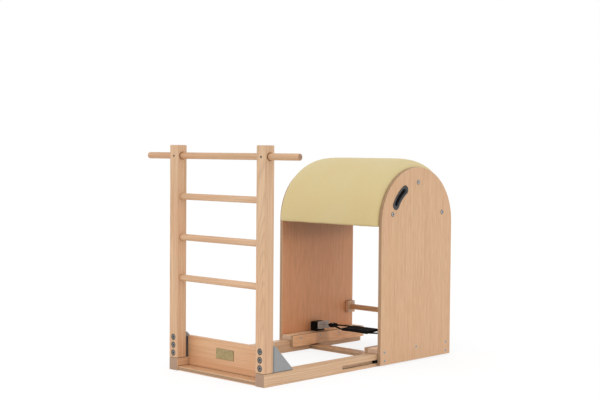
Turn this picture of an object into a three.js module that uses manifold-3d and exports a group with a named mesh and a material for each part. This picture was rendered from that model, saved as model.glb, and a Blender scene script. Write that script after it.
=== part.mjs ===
// Pilates ladder barrel: a dowel ladder on two floor rails, and a padded barrel that slides along them.
//
// Millimetres, +Z up. +X runs from the ladder to the barrel, and +Y is the left side seen that way.
// The origin is on the floor, in the middle of the whole length and width.
// Every piece is built at its place, with X counted from the ladder's front face, on the left side.
// The right side is its mirror image.
import * as THREE from "three";
import { RoundedBoxGeometry } from "three/addons/geometries/RoundedBoxGeometry.js";
import { mergeVertices } from "three/addons/utils/BufferGeometryUtils.js";
import Module from "manifold-3d";

const wasm = await Module();
wasm.setup();

// Clearances and common finishes

const seatGap = 0.3; // between two pieces that are fixed to each other
const boltClearance = 0.3; // round a bolt's shank, on the radius
const woodRound = 3; // rounded edges of the thick boards
const plyRound = 1.5; // rounded edges of the plywood
const overrun = 4; // how far a cut runs past the face that it opens

// Rails

const baseWidth = 604;
const railWidth = 54;
const railHeight = 56;
const railLength = 1240;
const grooveStart = 484;
const grooveHeight = 14.6;
const grooveMiddle = 24;
const grooveDepth = 12;
const indexSpacing = 50;
const indexCount = 5;
const indexDepth = 24;

// Ladder

const ladderHeight = 1000;
const postDepth = 52;
const tenonLength = 30;
const tenonWidth = 22;
const tenonDepth = 30;
const barDrop = 47; // from the posts' tops down to the top bar's axis
const barLength = 948;
const barDiameter = 29;
const barChamfer = 3;
const rungStepHeight = 180;
const rungCount = 3;
const rungDiameter = 29;
const rungSocket = 25;
const flare = 4; // chamfer round the holes of the top bar

// Foot and kick boards, and the board that ties the rails

const boardThickness = 18;
const floorClearance = 1.5;
const footBoardStart = 5;
const footBoardDepth = 102;
const kickBoardStart = 67;
const kickBoardThickness = 20;
const kickBoardTop = 151;
const kickBoardGap = 3.5; // beside each end of the kick board
const platePlacement = 9; // the plate's middle, left of the base's middle
const plateWidth = 110;
const plateHeight = 43;
const plateThickness = 1.5;
const plateMiddle = 93.5;
const tieStart = 856;
const tieDepth = 66;

// Corner gussets and the bolts that hold them to the posts

const gussetWidth = 46.5;
const gussetInset = 0.5; // from the rail's outer face
const gussetLength = 116;
const gussetHeight = 111;
const gussetTip = 12; // width of the webs at their top
const gussetFoot = 6; // height of the webs at their far end
const gussetBend = 12;
const gussetWall = 3;
const postBoltHeights = { lower: 78, middle: 113, upper: 148 };
const postBoltShank = 8;
const postBoltHead = 22;
const postBoltHeadHeight = 3;
const postBoltWasher = 27.5;
const postBoltWasherHeight = 1.5;
const postBoltSink = 5;
const postBoltSinkDiameter = 29;
const postBoltNut = 16;
const postBoltNutHeight = 6;
const socketAcross = 9;
const socketDepth = 3;
const headChamfer = 1.2;

// Barrel: two arched panels, the bent shell and the pad between them

const barrelInset = 2; // from the rails' rear ends to the panels' rear edges
const panelWidth = 520;
const panelBottom = 5.4;
const archHeight = 646; // height of the arch's centre
const panelThickness = 20;
const panelClearance = 2; // from the rail's outer face to the panel
const padOverhang = 10; // how far the pad and its shell run below the arch's centre
const padCrown = 42.7;
const padCrownPower = 8.8;
const padTuck = 70; // length over which the crown fades towards each end
const padSideClearance = 0.5;
const shellThickness = 8;
const battenReach = 224; // from the arch's centre to a batten's outer face
const battenHeight = 68;
const battenWidth = 40;
const battenFrontAngle = 166;
const battenTopAngle = 90;
const battenRearAngle = 14;
const panelBoltReach = 190;
const panelBoltShank = 8;
const panelBoltHead = 21;
const panelBoltHeadHeight = 3.6;
const panelBoltDome = 1.8;
const panelBoltDepth = 34; // how far it enters the batten

// Hand grips in the panels

const gripReach = 184;
const gripAngle = 137;
const gripFlangeLength = 138;
const gripFlangeWidth = 42;
const gripFlangeThickness = 3;
const gripFlangeRound = 1.2;
const gripSlotLength = 106;
const gripSlotWidth = 25;
const gripWall = 2;

// Runners, cheeks and guides, which hold the barrel on the rails

const runnerHeight = 23;
const runnerClearance = 0.5; // above the rail
const cheekThickness = 20;
const cheekHeight = 52.5;
const cheekClearance = 2; // from the rail's inner face
const guideLength = 91;
const guideNose = 18; // how far the front guide stands out ahead of its panel
const guideClearance = 0.5;

// Bar low down at the rear of the barrel

const lowerBarDiameter = 27;
const lowerBarHeight = 176.5;
const lowerBarFromRear = 31;
const barBlockLength = 52;
const barBlockHeight = 59;
const barBlockThickness = 20;

// Latches: a sprung pin in a housing on each runner, carried by a steel plate

const latchFromFront = 230; // from the panels' front edge to the pins' axes
const pinInset = 21; // from the rail's outer face to the pin's axis
const housingLength = 64;
const housingWidth = 36;
const housingHeight = 46;
const housingRound = 3;
const housingFloor = 4;
const housingBore = 23;
const housingBoreHeight = 38;
const windowWidth = 28;
const windowHeight = 19;
const windowSill = 2; // from the bore's floor up to the window
const pinDiameter = 12;
const pinClearance = 0.5;
const pinLift = 0.3; // the pin's tip above the rail when the latch is drawn
const pinLength = 62;
const pinTip = 2;
const pinCollar = 18;
const pinCollarHeight = 3;
const plateSteel = 3;
const pullPlateLength = 80;
const pullPlateHeight = 36;
const pullPlateStandoff = 23; // from the housing's face to the plate's far face
const pullPlateLip = 8;
const pullPlateRise = 15; // from the runner's top to the plate's lower edge
const pullPlateRound = 4;
const armWidth = 20;
const armRise = 20.5; // from the runner's top to the arm
const springWire = 1.6;
const springMiddleDiameter = 17.4;
const springTurns = 4.5;

// Pull strap: a cord loop between the two plates, with a sleeve for the hand

const strapRise = 32.7; // from the runner's top to the cords' axes
const cordDiameter = 7.5;
const cordSpread = 76.5;
const cordClearance = 0.3;
const cordLoopRound = 14;
const cordLoopInset = 16; // from the plate to the loop's end
const strapEndLength = 44;
const strapEndWidth = 88;
const strapEndThickness = 10.5;
const strapNeckWidth = 48;
const strapNeckThickness = 5;
const strapRollDiameter = 10;
const strapRollFromPlate = 7;
const sleeveLength = 162;
const sleeveWidth = 90;
const sleeveThickness = 12;

// Facets

const fineSides = 28;
const roundSides = 20;
const smallSides = 16;
const hiddenSides = 12;
const hexSides = 6;
const cordSides = 10;
const bevelSteps = 1;
const bendSteps = 5; // round a right angle
const archSteps = 40;
const padStepsAcross = 16;
const springStepsPerTurn = 8;
const springSides = 5;
const mergeDistance = 1e-4;

// Places worked out from the sizes

const halfTurn = 180; // degrees
const barHeight = ladderHeight - barDrop;
const barrelStart = railLength - barrelInset - panelWidth;
const battenAngles = { front: battenFrontAngle, top: battenTopAngle, rear: battenRearAngle };
const railOuter = baseWidth / 2;
const railInner = railOuter - railWidth;
const railMiddle = (railInner + railOuter) / 2;
const postBoltHole = postBoltShank + 2 * boltClearance;
const panelBoltHole = panelBoltShank + 2 * boltClearance;
const panelInner = railOuter + panelClearance;
const panelOuter = panelInner + panelThickness;
const barrelEnd = barrelStart + panelWidth;
const archRadius = panelWidth / 2;
const archMiddle = barrelStart + archRadius;
const shellInner = Math.hypot(battenReach, battenWidth / 2) + seatGap;
const shellOuter = shellInner + shellThickness;
const padInner = shellOuter + seatGap;
const overallLength = barrelEnd + padCrown;
const runnerBottom = railHeight + runnerClearance;
const runnerTop = runnerBottom + runnerHeight;
const cheekOuter = railInner - cheekClearance;
const latchX = barrelStart + latchFromFront;
const pinY = railOuter - pinInset;
const housingBottom = runnerTop + seatGap;
const housingInner = pinY - housingWidth / 2;
const boreFloor = housingBottom + housingFloor;
const boreCeiling = boreFloor + housingBoreHeight;
const armBottom = runnerTop + armRise;
const pullPlateOuter = housingInner - pullPlateStandoff + plateSteel;
const pullPlateInner = pullPlateOuter - plateSteel;
const strapHeight = runnerTop + strapRise;

// Materials

function finish(color, roughness, metalness = 0) {
  return new THREE.MeshStandardMaterial({ color, roughness, metalness });
}

const beech = finish(0xd8b088, 0.55);
const plywood = finish(0xcf9f74, 0.6);
const innerPly = finish(0xa9785a, 0.65);
const upholstery = finish(0xd6c491, 0.62);
const steel = finish(0x8f9294, 0.4, 0.9);
const zincSteel = finish(0x9b9d9c, 0.45, 0.85);
const blackPlastic = finish(0x17171a, 0.45);
const blackFabric = finish(0x151517, 0.85);
const brass = finish(0x8f7f45, 0.4, 0.8);

// Solids

// A closed geometry as a solid, with its shared corners merged and its empty triangles dropped.
function solid(geometry) {
  const loose = geometry.index ? geometry.toNonIndexed() : geometry;
  const bare = new THREE.BufferGeometry().setAttribute("position", loose.getAttribute("position"));
  const merged = mergeVertices(bare, mergeDistance);
  const corners = merged.index.array;
  const kept = [];
  for (let i = 0; i < corners.length; i += 3) {
    const [a, b, c] = [corners[i], corners[i + 1], corners[i + 2]];
    if (a !== b && b !== c && c !== a) kept.push(a, b, c);
  }
  const vertProperties = merged.getAttribute("position").array;
  return new wasm.Manifold(new wasm.Mesh({ numProp: 3, vertProperties, triVerts: new Uint32Array(kept) }));
}

function join(...bodies) {
  return bodies.reduce((whole, body) => whole.add(body));
}

function cut(body, ...tools) {
  return tools.reduce((rest, tool) => rest.subtract(tool), body);
}

// A solid as a named mesh.
function piece(name, body, material) {
  const { vertProperties, triVerts } = body.getMesh();
  const geometry = new THREE.BufferGeometry();
  geometry.setAttribute("position", new THREE.BufferAttribute(vertProperties, 3));
  geometry.setIndex(new THREE.BufferAttribute(triVerts, 1));
  const flat = geometry.toNonIndexed();
  flat.computeVertexNormals();
  const mesh = new THREE.Mesh(flat, material);
  mesh.name = name;
  return mesh;
}

// A span of a given length about its middle.
function around(middle, length) {
  return [middle - length / 2, middle + length / 2];
}

// A box between two values on each axis, with its edges rounded over where a radius is given.
function block([x0, x1], [y0, y1], [z0, z1], round = 0, steps = 1) {
  const sizes = [x1 - x0, y1 - y0, z1 - z0];
  const geometry = round ? new RoundedBoxGeometry(...sizes, steps, round) : new THREE.BoxGeometry(...sizes);
  geometry.translate((x0 + x1) / 2, (y0 + y1) / 2, (z0 + z1) / 2);
  return solid(geometry);
}

// A profile of [radius, height] points, from the axis and back to it, turned about a line along one axis.
function turned(profile, along, [x, y, z], sides = roundSides) {
  const points = profile.map(([radius, height]) => new THREE.Vector2(radius, height));
  const geometry = new THREE.LatheGeometry(points, sides);
  if (along === "x") geometry.rotateZ(-Math.PI / 2);
  if (along === "z") geometry.rotateX(Math.PI / 2);
  geometry.translate(x, y, z);
  return solid(geometry);
}

// A plain round bar or hole between two heights on its axis.
function rod(diameter, [from, to], along, place, sides, chamfer = 0) {
  const radius = diameter / 2;
  const body = chamfer
    ? [
        [0, from],
        [radius - chamfer, from],
        [radius, from + chamfer],
        [radius, to - chamfer],
        [radius - chamfer, to],
        [0, to],
      ]
    : [
        [0, from],
        [radius, from],
        [radius, to],
        [0, to],
      ];
  return turned(body, along, place, sides);
}

// Points of an arc in the plane of X and Z, with angles in degrees from +X towards +Z.
function arc(x, z, radius, from, to, steps) {
  return Array.from({ length: steps + 1 }, (_, i) => {
    const angle = THREE.MathUtils.degToRad(from + ((to - from) * i) / steps);
    return new THREE.Vector2(x + radius * Math.cos(angle), z + radius * Math.sin(angle));
  });
}

// An outline in the plane of X and Z made solid between two values of Y, with its edges rounded over.
function across(outline, [y0, y1], round = 0, holes = []) {
  const shape = new THREE.Shape(outline);
  shape.holes = holes.map((hole) => new THREE.Path(hole));
  const geometry = new THREE.ExtrudeGeometry(shape, {
    depth: y1 - y0 - 2 * round,
    bevelEnabled: round > 0,
    bevelThickness: round,
    bevelSize: round,
    bevelOffset: -round,
    bevelSegments: bevelSteps,
  });
  geometry.translate(0, 0, round - y1);
  geometry.rotateX(Math.PI / 2);
  return solid(geometry);
}

// A point at a given reach and angle from the arch's centre.
function fromArch(reach, degrees) {
  const [point] = arc(archMiddle, archHeight, reach, degrees, degrees, 1);
  return point;
}

// Base: rails, ladder, boards and gussets

function indexPlaces() {
  return Array.from({ length: indexCount }, (_, i) => latchX - i * indexSpacing);
}

function tenonSpans(gap) {
  return [
    around(postDepth / 2, tenonDepth + 2 * gap),
    around(railMiddle, tenonWidth + 2 * gap),
    [railHeight - tenonLength - gap, railHeight + overrun],
  ];
}

function rail() {
  const body = block([0, railLength], [railInner, railOuter], [0, railHeight], woodRound);
  const end = grooveHeight / 2;
  const outline = [
    ...arc(grooveStart + end, grooveMiddle, end, halfTurn / 2, (3 * halfTurn) / 2, smallSides / 2),
    new THREE.Vector2(railLength + overrun, grooveMiddle - end),
    new THREE.Vector2(railLength + overrun, grooveMiddle + end),
  ];
  const groove = across(outline, [railOuter - grooveDepth, railOuter + overrun]);
  const holeDiameter = pinDiameter + 2 * pinClearance;
  const holes = indexPlaces().map((x) =>
    rod(holeDiameter, [railHeight - indexDepth, railHeight + overrun], "z", [x, pinY, 0], smallSides),
  );
  return cut(body, groove, block(...tenonSpans(seatGap)), ...holes);
}

function rungHeights() {
  return Array.from({ length: rungCount }, (_, i) => barHeight - (i + 1) * rungStepHeight);
}

// The through hole for the top bar, flared at the post's two faces.
function barHole() {
  const radius = barDiameter / 2 + seatGap;
  const [inner, outer] = [railInner, railOuter];
  const profile = [
    [0, inner - overrun],
    [radius + flare + overrun, inner - overrun],
    [radius, inner + flare],
    [radius, outer - flare],
    [radius + flare + overrun, outer + overrun],
    [0, outer + overrun],
  ];
  return turned(profile, "y", [postDepth / 2, 0, barHeight], roundSides);
}

function post() {
  const span = [railInner, railOuter];
  const body = block([0, postDepth], span, [railHeight + seatGap, ladderHeight], woodRound);
  const middle = railMiddle;
  const sockets = rungHeights().map((z) => {
    const depth = [railInner - overrun, railInner + rungSocket];
    return rod(rungDiameter + 2 * seatGap, depth, "y", [postDepth / 2, 0, z], roundSides);
  });
  const boltHoles = Object.values(postBoltHeights).flatMap((z) => [
    rod(postBoltHole, [-overrun, postDepth + overrun], "x", [0, middle, z], hiddenSides),
    rod(postBoltSinkDiameter, [-overrun, postBoltSink], "x", [0, middle, z], smallSides),
  ]);
  return cut(join(body, block(...tenonSpans(0))), barHole(), ...sockets, ...boltHoles);
}

// A socket-head bolt through post and gusset, with its washer and its nut, as it looks when tight.
function postBolt(z) {
  const seat = postBoltSink - seatGap;
  const washer = seat - postBoltWasherHeight;
  const head = washer - postBoltHeadHeight;
  const nut = postDepth + seatGap + gussetWall + seatGap;
  const profile = [
    [0, head],
    [postBoltHead / 2 - headChamfer, head],
    [postBoltHead / 2, head + headChamfer],
    [postBoltHead / 2, washer],
    [postBoltWasher / 2, washer],
    [postBoltWasher / 2, seat],
    [postBoltShank / 2, seat],
    [postBoltShank / 2, nut + postBoltNutHeight],
    [0, nut + postBoltNutHeight],
  ];
  const place = [0, railMiddle, z];
  const body = turned(profile, "x", place, smallSides);
  const hexNut = rod(postBoltNut, [nut, nut + postBoltNutHeight], "x", place, hexSides);
  const socket = rod(socketAcross, [head - overrun, head + socketDepth], "x", place, hexSides);
  return cut(join(body, hexNut), socket);
}

// A pressed steel corner: a back and two webs, bent from one sheet, on a flat foot.
function gusset() {
  const [back, front] = [postDepth + seatGap, postDepth + seatGap + gussetLength];
  const outer = railOuter - gussetInset;
  const inner = outer - gussetWidth;
  const bottom = railHeight + seatGap;
  // The plan of the bent sheet, drawn with Y as height.
  const plan = (wall) => {
    const bend = gussetBend - wall;
    return [
      new THREE.Vector2(front + wall, outer - wall),
      ...arc(back + gussetBend, outer - gussetBend, bend, halfTurn / 2, halfTurn, bendSteps),
      ...arc(back + gussetBend, inner + gussetBend, bend, halfTurn, (3 * halfTurn) / 2, bendSteps),
      new THREE.Vector2(front + wall, inner + wall),
    ];
  };
  const upright = (outline, [z0, z1]) => {
    const settings = { depth: z1 - z0, bevelEnabled: false };
    const geometry = new THREE.ExtrudeGeometry(new THREE.Shape(outline), settings);
    geometry.translate(0, 0, z0);
    return solid(geometry);
  };
  const sheet = upright(plan(0), [bottom, bottom + gussetHeight]);
  const hollow = upright(plan(gussetWall), [bottom + gussetWall, bottom + gussetHeight + overrun]);
  // The triangle above the webs' slope.
  const above = across(
    [
      new THREE.Vector2(back + gussetTip, bottom + gussetHeight),
      new THREE.Vector2(front, bottom + gussetFoot),
      new THREE.Vector2(front + overrun, bottom + gussetFoot),
      new THREE.Vector2(front + overrun, bottom + gussetHeight + overrun),
      new THREE.Vector2(back + gussetTip, bottom + gussetHeight + overrun),
    ],
    [inner - overrun, outer + overrun],
  );
  const holes = Object.values(postBoltHeights).map((z) => {
    const depth = [postDepth, back + gussetWall + overrun];
    return rod(postBoltHole, depth, "x", [0, railMiddle, z], hiddenSides);
  });
  return cut(sheet, hollow, above, ...holes);
}

function topBar() {
  return rod(barDiameter, around(0, barLength), "y", [postDepth / 2, 0, barHeight], fineSides, barChamfer);
}

function rung(z) {
  const length = 2 * (railInner + rungSocket - seatGap);
  return rod(rungDiameter, around(0, length), "y", [postDepth / 2, 0, z], fineSides);
}

function betweenRails(gap = seatGap) {
  return around(0, 2 * (railInner - gap));
}

function footBoard() {
  const height = [floorClearance, floorClearance + boardThickness];
  return block([footBoardStart, footBoardStart + footBoardDepth], betweenRails(), height, plyRound);
}

function kickBoard() {
  const height = [floorClearance + boardThickness + seatGap, kickBoardTop];
  const depth = [kickBoardStart, kickBoardStart + kickBoardThickness];
  return block(depth, betweenRails(kickBoardGap), height, plyRound);
}

function namePlate() {
  const depth = [kickBoardStart - seatGap - plateThickness, kickBoardStart - seatGap];
  return block(depth, around(platePlacement, plateWidth), around(plateMiddle, plateHeight));
}

function tieBoard() {
  const height = [floorClearance, floorClearance + boardThickness];
  return block([tieStart, tieStart + tieDepth], betweenRails(), height, plyRound);
}

// Barrel: panels, pad, shell, battens and grips

// The outline of a slot that follows the arch, with round ends.
function gripOutline(length, width) {
  const half = width / 2;
  const swing = THREE.MathUtils.radToDeg((length / 2 - half) / gripReach);
  const [low, high] = [gripAngle - swing, gripAngle + swing];
  const [start, end] = [fromArch(gripReach, low), fromArch(gripReach, high)];
  const steps = bendSteps;
  return [
    ...arc(archMiddle, archHeight, gripReach + half, low, high, steps),
    ...arc(end.x, end.y, half, high, high + halfTurn, steps).slice(1, -1),
    ...arc(archMiddle, archHeight, gripReach - half, high, low, steps),
    ...arc(start.x, start.y, half, low + halfTurn, low + 2 * halfTurn, steps).slice(1, -1),
  ];
}

function sidePanel() {
  const outline = [
    new THREE.Vector2(barrelStart, panelBottom),
    new THREE.Vector2(barrelEnd, panelBottom),
    ...arc(archMiddle, archHeight, archRadius, 0, halfTurn, archSteps),
  ];
  const slot = gripOutline(gripSlotLength, gripSlotWidth);
  const body = across(outline, [panelInner, panelOuter], plyRound);
  const holes = Object.values(battenAngles).map((angle) => {
    const { x, y: z } = fromArch(panelBoltReach, angle);
    const depth = [panelInner - overrun, panelOuter + overrun];
    return rod(panelBoltHole, depth, "y", [x, 0, z], hiddenSides);
  });
  return cut(body, across(slot, [panelInner - overrun, panelOuter + overrun]), ...holes);
}

// A liner through the panel's slot, with a flange outside. It is open right through.
function handGrip() {
  const face = panelOuter + seatGap;
  const linerLength = gripSlotLength - 2 * seatGap;
  const linerWidth = gripSlotWidth - 2 * seatGap;
  const openLength = linerLength - 2 * gripWall;
  const openWidth = linerWidth - 2 * gripWall;
  const flangeSpan = [face, face + gripFlangeThickness];
  const flange = across(gripOutline(gripFlangeLength, gripFlangeWidth), flangeSpan, gripFlangeRound);
  const liner = across(gripOutline(linerLength, linerWidth), [panelInner, face + gripFlangeRound]);
  const opening = across(gripOutline(openLength, openWidth), [panelInner - overrun, face + 2 * overrun]);
  return cut(join(flange, liner), opening);
}

function batten(angle) {
  const turn = THREE.MathUtils.degToRad(angle);
  const [along, beside] = [new THREE.Vector2(1, 0), new THREE.Vector2(0, 1)];
  const origin = new THREE.Vector2();
  for (const axis of [along, beside]) axis.rotateAround(origin, turn);
  const corner = (reach, shift) =>
    new THREE.Vector2(archMiddle, archHeight).addScaledVector(along, reach).addScaledVector(beside, shift);
  const outline = [
    corner(battenReach - battenHeight, -battenWidth / 2),
    corner(battenReach, -battenWidth / 2),
    corner(battenReach, battenWidth / 2),
    corner(battenReach - battenHeight, battenWidth / 2),
  ];
  const reach = panelInner - seatGap;
  const { x, y: z } = fromArch(panelBoltReach, angle);
  const holes = [-1, 1].map((side) => {
    const ends = [side * (reach + overrun), side * (reach - panelBoltDepth - overrun)];
    return rod(panelBoltHole, ends.sort((a, b) => a - b), "y", [x, 0, z], hiddenSides);
  });
  return cut(across(outline, [-reach, reach], plyRound), ...holes);
}

function panelBolt(angle) {
  const { x, y: z } = fromArch(panelBoltReach, angle);
  const face = panelOuter + seatGap;
  const [shank, head] = [panelBoltShank / 2, panelBoltHead / 2];
  const profile = [
    [0, panelInner - panelBoltDepth],
    [shank, panelInner - panelBoltDepth],
    [shank, face],
    [head, face],
    [head, face + panelBoltHeadHeight - panelBoltDome],
    [head - panelBoltDome, face + panelBoltHeadHeight],
    [0, face + panelBoltHeadHeight],
  ];
  const top = face + panelBoltHeadHeight;
  const socket = rod(socketAcross, [top - socketDepth, top + overrun], "y", [x, 0, z], hexSides);
  return cut(turned(profile, "y", [x, 0, z], smallSides), socket);
}

// How far below the level of the arch's centre an arc of the given radius must swing.
function overhangAngle(radius) {
  return THREE.MathUtils.radToDeg(Math.asin(padOverhang / radius));
}

function barrelShell() {
  const reach = panelInner - seatGap;
  const swing = overhangAngle(archRadius);
  const outline = [
    ...arc(archMiddle, archHeight, shellOuter, -swing, halfTurn + swing, archSteps),
    ...arc(archMiddle, archHeight, shellInner, halfTurn + swing, -swing, archSteps),
  ];
  return across(outline, [-reach, reach]);
}

// The pad's outer radius at an angle round the arch and a place across it.
// It meets the panels' rims at its sides, and swells between them, less so towards its two ends.
function padRadius(angle, swing, y, half) {
  const fromEnd = Math.min(angle + swing, halfTurn + swing - angle);
  const endDistance = THREE.MathUtils.degToRad(fromEnd) * archRadius;
  const fade = Math.sin((Math.PI / 2) * Math.min(1, endDistance / padTuck));
  return archRadius + padCrown * (1 - Math.abs(y / half) ** padCrownPower) * fade;
}

// The pad: one cross-section for each step round the arch, joined to the next, with both ends closed.
function barrelPad() {
  const half = panelInner - padSideClearance;
  const swing = overhangAngle(archRadius);
  // Places across the pad, closer together towards its sides.
  const places = Array.from({ length: padStepsAcross + 1 }, (_, i) =>
    half * Math.sin((Math.PI / 2) * ((2 * i) / padStepsAcross - 1)),
  );
  const section = (angle) => {
    const rim = places.map((y) => [padRadius(angle, swing, y, half), y]);
    return [...rim, [padInner, half], [padInner, -half]];
  };
  const positions = [];
  const rings = Array.from({ length: archSteps + 1 }, (_, i) => {
    const angle = -swing + ((halfTurn + 2 * swing) * i) / archSteps;
    const first = positions.length / 3;
    for (const [radius, y] of section(angle)) {
      const { x, y: z } = fromArch(radius, angle);
      positions.push(x, y, z);
    }
    return first;
  });
  const count = places.length + 2;
  const corners = [];
  for (let i = 0; i < archSteps; i++) {
    for (let k = 0; k < count; k++) {
      const next = (k + 1) % count;
      const [a, b, c, d] = [rings[i] + k, rings[i] + next, rings[i + 1] + next, rings[i + 1] + k];
      corners.push(a, b, c, a, c, d);
    }
  }
  const face = THREE.ShapeUtils.triangulateShape(
    section(-swing).map(([radius, y]) => new THREE.Vector2(radius, y)),
    [],
  );
  for (const [a, b, c] of face) {
    corners.push(rings[0] + c, rings[0] + b, rings[0] + a);
    corners.push(rings[archSteps] + a, rings[archSteps] + b, rings[archSteps] + c);
  }
  const geometry = new THREE.BufferGeometry();
  geometry.setAttribute("position", new THREE.BufferAttribute(new Float32Array(positions), 3));
  geometry.setIndex(corners);
  return solid(geometry);
}

// Carriage: runners, cheeks, guides and the lower bar

function pinHole(span) {
  return rod(pinDiameter + 2 * pinClearance, span, "z", [latchX, pinY, 0], smallSides);
}

function runner() {
  const width = [cheekOuter + seatGap, panelInner - seatGap];
  const body = block([barrelStart, barrelEnd], width, [runnerBottom, runnerTop], plyRound);
  return cut(body, pinHole([runnerBottom - overrun, runnerTop + overrun]));
}

function cheek() {
  const width = [cheekOuter - cheekThickness, cheekOuter];
  return block([barrelStart, barrelEnd], width, [runnerTop - cheekHeight, runnerTop], plyRound);
}

function guide(start) {
  const width = [railOuter - grooveDepth + guideClearance, panelInner - seatGap];
  const height = around(grooveMiddle, grooveHeight - 2 * guideClearance);
  return block([start, start + guideLength], width, height, plyRound);
}

function barBlock() {
  const middle = barrelEnd - lowerBarFromRear;
  const width = [panelInner - seatGap - barBlockThickness, panelInner - seatGap];
  const height = around(lowerBarHeight, barBlockHeight);
  const body = block(around(middle, barBlockLength), width, height, plyRound);
  const through = [width[0] - overrun, width[1] + overrun];
  const hole = rod(lowerBarDiameter + 2 * seatGap, through, "y", [middle, 0, lowerBarHeight], roundSides);
  return cut(body, hole);
}

function lowerBar() {
  const length = 2 * (panelInner - seatGap);
  const place = [barrelEnd - lowerBarFromRear, 0, lowerBarHeight];
  return rod(lowerBarDiameter, around(0, length), "y", place, fineSides);
}

// Latches

function latchHousing() {
  const width = around(pinY, housingWidth);
  const height = [housingBottom, housingBottom + housingHeight];
  const body = block(around(latchX, housingLength), width, height, housingRound);
  const bore = rod(housingBore, [boreFloor, boreCeiling], "z", [latchX, pinY, 0], roundSides);
  const sill = boreFloor + windowSill;
  const depth = [housingInner - overrun, pinY];
  const window = block(around(latchX, windowWidth), depth, [sill, sill + windowHeight]);
  return cut(body, bore, window, pinHole([housingBottom - overrun, boreFloor + overrun]));
}

// The pin has a collar that carries the arm of the pull plate.
function latchPin() {
  const [tip, shank, collar] = [railHeight + pinLift, pinDiameter / 2, pinCollar / 2];
  const collarTop = armBottom - seatGap;
  const profile = [
    [0, tip],
    [shank - pinTip, tip],
    [shank, tip + pinTip],
    [shank, collarTop - pinCollarHeight],
    [collar, collarTop - pinCollarHeight],
    [collar, collarTop],
    [shank, collarTop],
    [shank, tip + pinLength],
    [0, tip + pinLength],
  ];
  return turned(profile, "z", [latchX, pinY, 0], smallSides);
}

// The plate stands before the housing. Its arm reaches through the window to the pin.
// Its lip stiffens it.
function pullPlate() {
  const bottom = runnerTop + pullPlateRise;
  const top = bottom + pullPlateHeight;
  const [front, rear] = around(latchX, pullPlateLength);
  const round = pullPlateRound;
  const upright = across(
    [
      ...arc(rear - round, top - round, round, 0, halfTurn / 2, bendSteps),
      ...arc(front + round, top - round, round, halfTurn / 2, halfTurn, bendSteps),
      new THREE.Vector2(front, bottom),
      new THREE.Vector2(rear, bottom),
    ],
    [pullPlateInner, pullPlateOuter],
  );
  const lip = block(
    around(latchX, pullPlateLength - 2 * pullPlateRound),
    [pullPlateInner - pullPlateLip, pullPlateOuter],
    [bottom, bottom + plateSteel],
  );
  const armHeight = [armBottom, armBottom + plateSteel];
  const arm = block(around(latchX, armWidth), [pullPlateInner, pinY], armHeight);
  const eye = rod(armWidth, armHeight, "z", [latchX, pinY, 0], roundSides);
  const through = [armBottom - overrun, armBottom + plateSteel + overrun];
  const hole = rod(pinDiameter + 2 * seatGap, through, "z", [latchX, pinY, 0]);
  const slot = block(
    around(latchX, strapNeckWidth + 2 * seatGap),
    [pullPlateInner - overrun, pullPlateOuter + overrun],
    around(strapHeight, strapNeckThickness + 2 * seatGap),
  );
  return cut(join(upright, lip, arm, eye), hole, slot);
}

// The curve of the spring's wire, rising about the pin.
class Helix extends THREE.Curve {
  constructor(radius, turns, [from, to]) {
    super();
    Object.assign(this, { radius, turns, from, to });
  }
  getPoint(t, target = new THREE.Vector3()) {
    const angle = 2 * Math.PI * this.turns * t;
    const height = this.from + (this.to - this.from) * t;
    return target.set(this.radius * Math.cos(angle), this.radius * Math.sin(angle), height);
  }
}

const springSpan = [
  armBottom + plateSteel + seatGap + springWire / 2,
  boreCeiling - seatGap - springWire / 2,
];

function latchSpring() {
  const path = new Helix(springMiddleDiameter / 2, springTurns, springSpan);
  const section = new THREE.Shape(arc(0, 0, springWire / 2, 0, 2 * halfTurn, springSides).slice(0, -1));
  const geometry = new THREE.ExtrudeGeometry(section, {
    steps: Math.round(springTurns * springStepsPerTurn),
    extrudePath: path,
    bevelEnabled: false,
  });
  geometry.translate(latchX, pinY, 0);
  return solid(geometry);
}

// The least clear gap between two turns of the spring, one turn apart.
const springGap = (springSpan[1] - springSpan[0]) / springTurns - springWire;
console.log(`least gap between the spring's turns: ${springGap.toFixed(2)} mm`);

// Pull strap

// A loop of the cord's line, level, with round corners.
function cordLine() {
  const halfWidth = cordSpread / 2;
  const halfLength = pullPlateInner - cordLoopInset;
  const path = new THREE.CurvePath();
  const corners = [
    [halfWidth, halfLength],
    [-halfWidth, halfLength],
    [-halfWidth, -halfLength],
    [halfWidth, -halfLength],
  ].map(([x, y]) => new THREE.Vector3(latchX + x, y, strapHeight));
  corners.forEach((corner, i) => {
    const toward = (other) => corner.clone().lerp(other, cordLoopRound / corner.distanceTo(other));
    const before = toward(corners[(i + 3) % 4]);
    const after = toward(corners[(i + 1) % 4]);
    path.add(new THREE.QuadraticBezierCurve3(before, corner, after));
    const nextCorner = corners[(i + 1) % 4];
    const nextBefore = nextCorner.clone().lerp(corner, cordLoopRound / corner.distanceTo(nextCorner));
    path.add(new THREE.LineCurve3(after, nextBefore));
  });
  return path;
}

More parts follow.
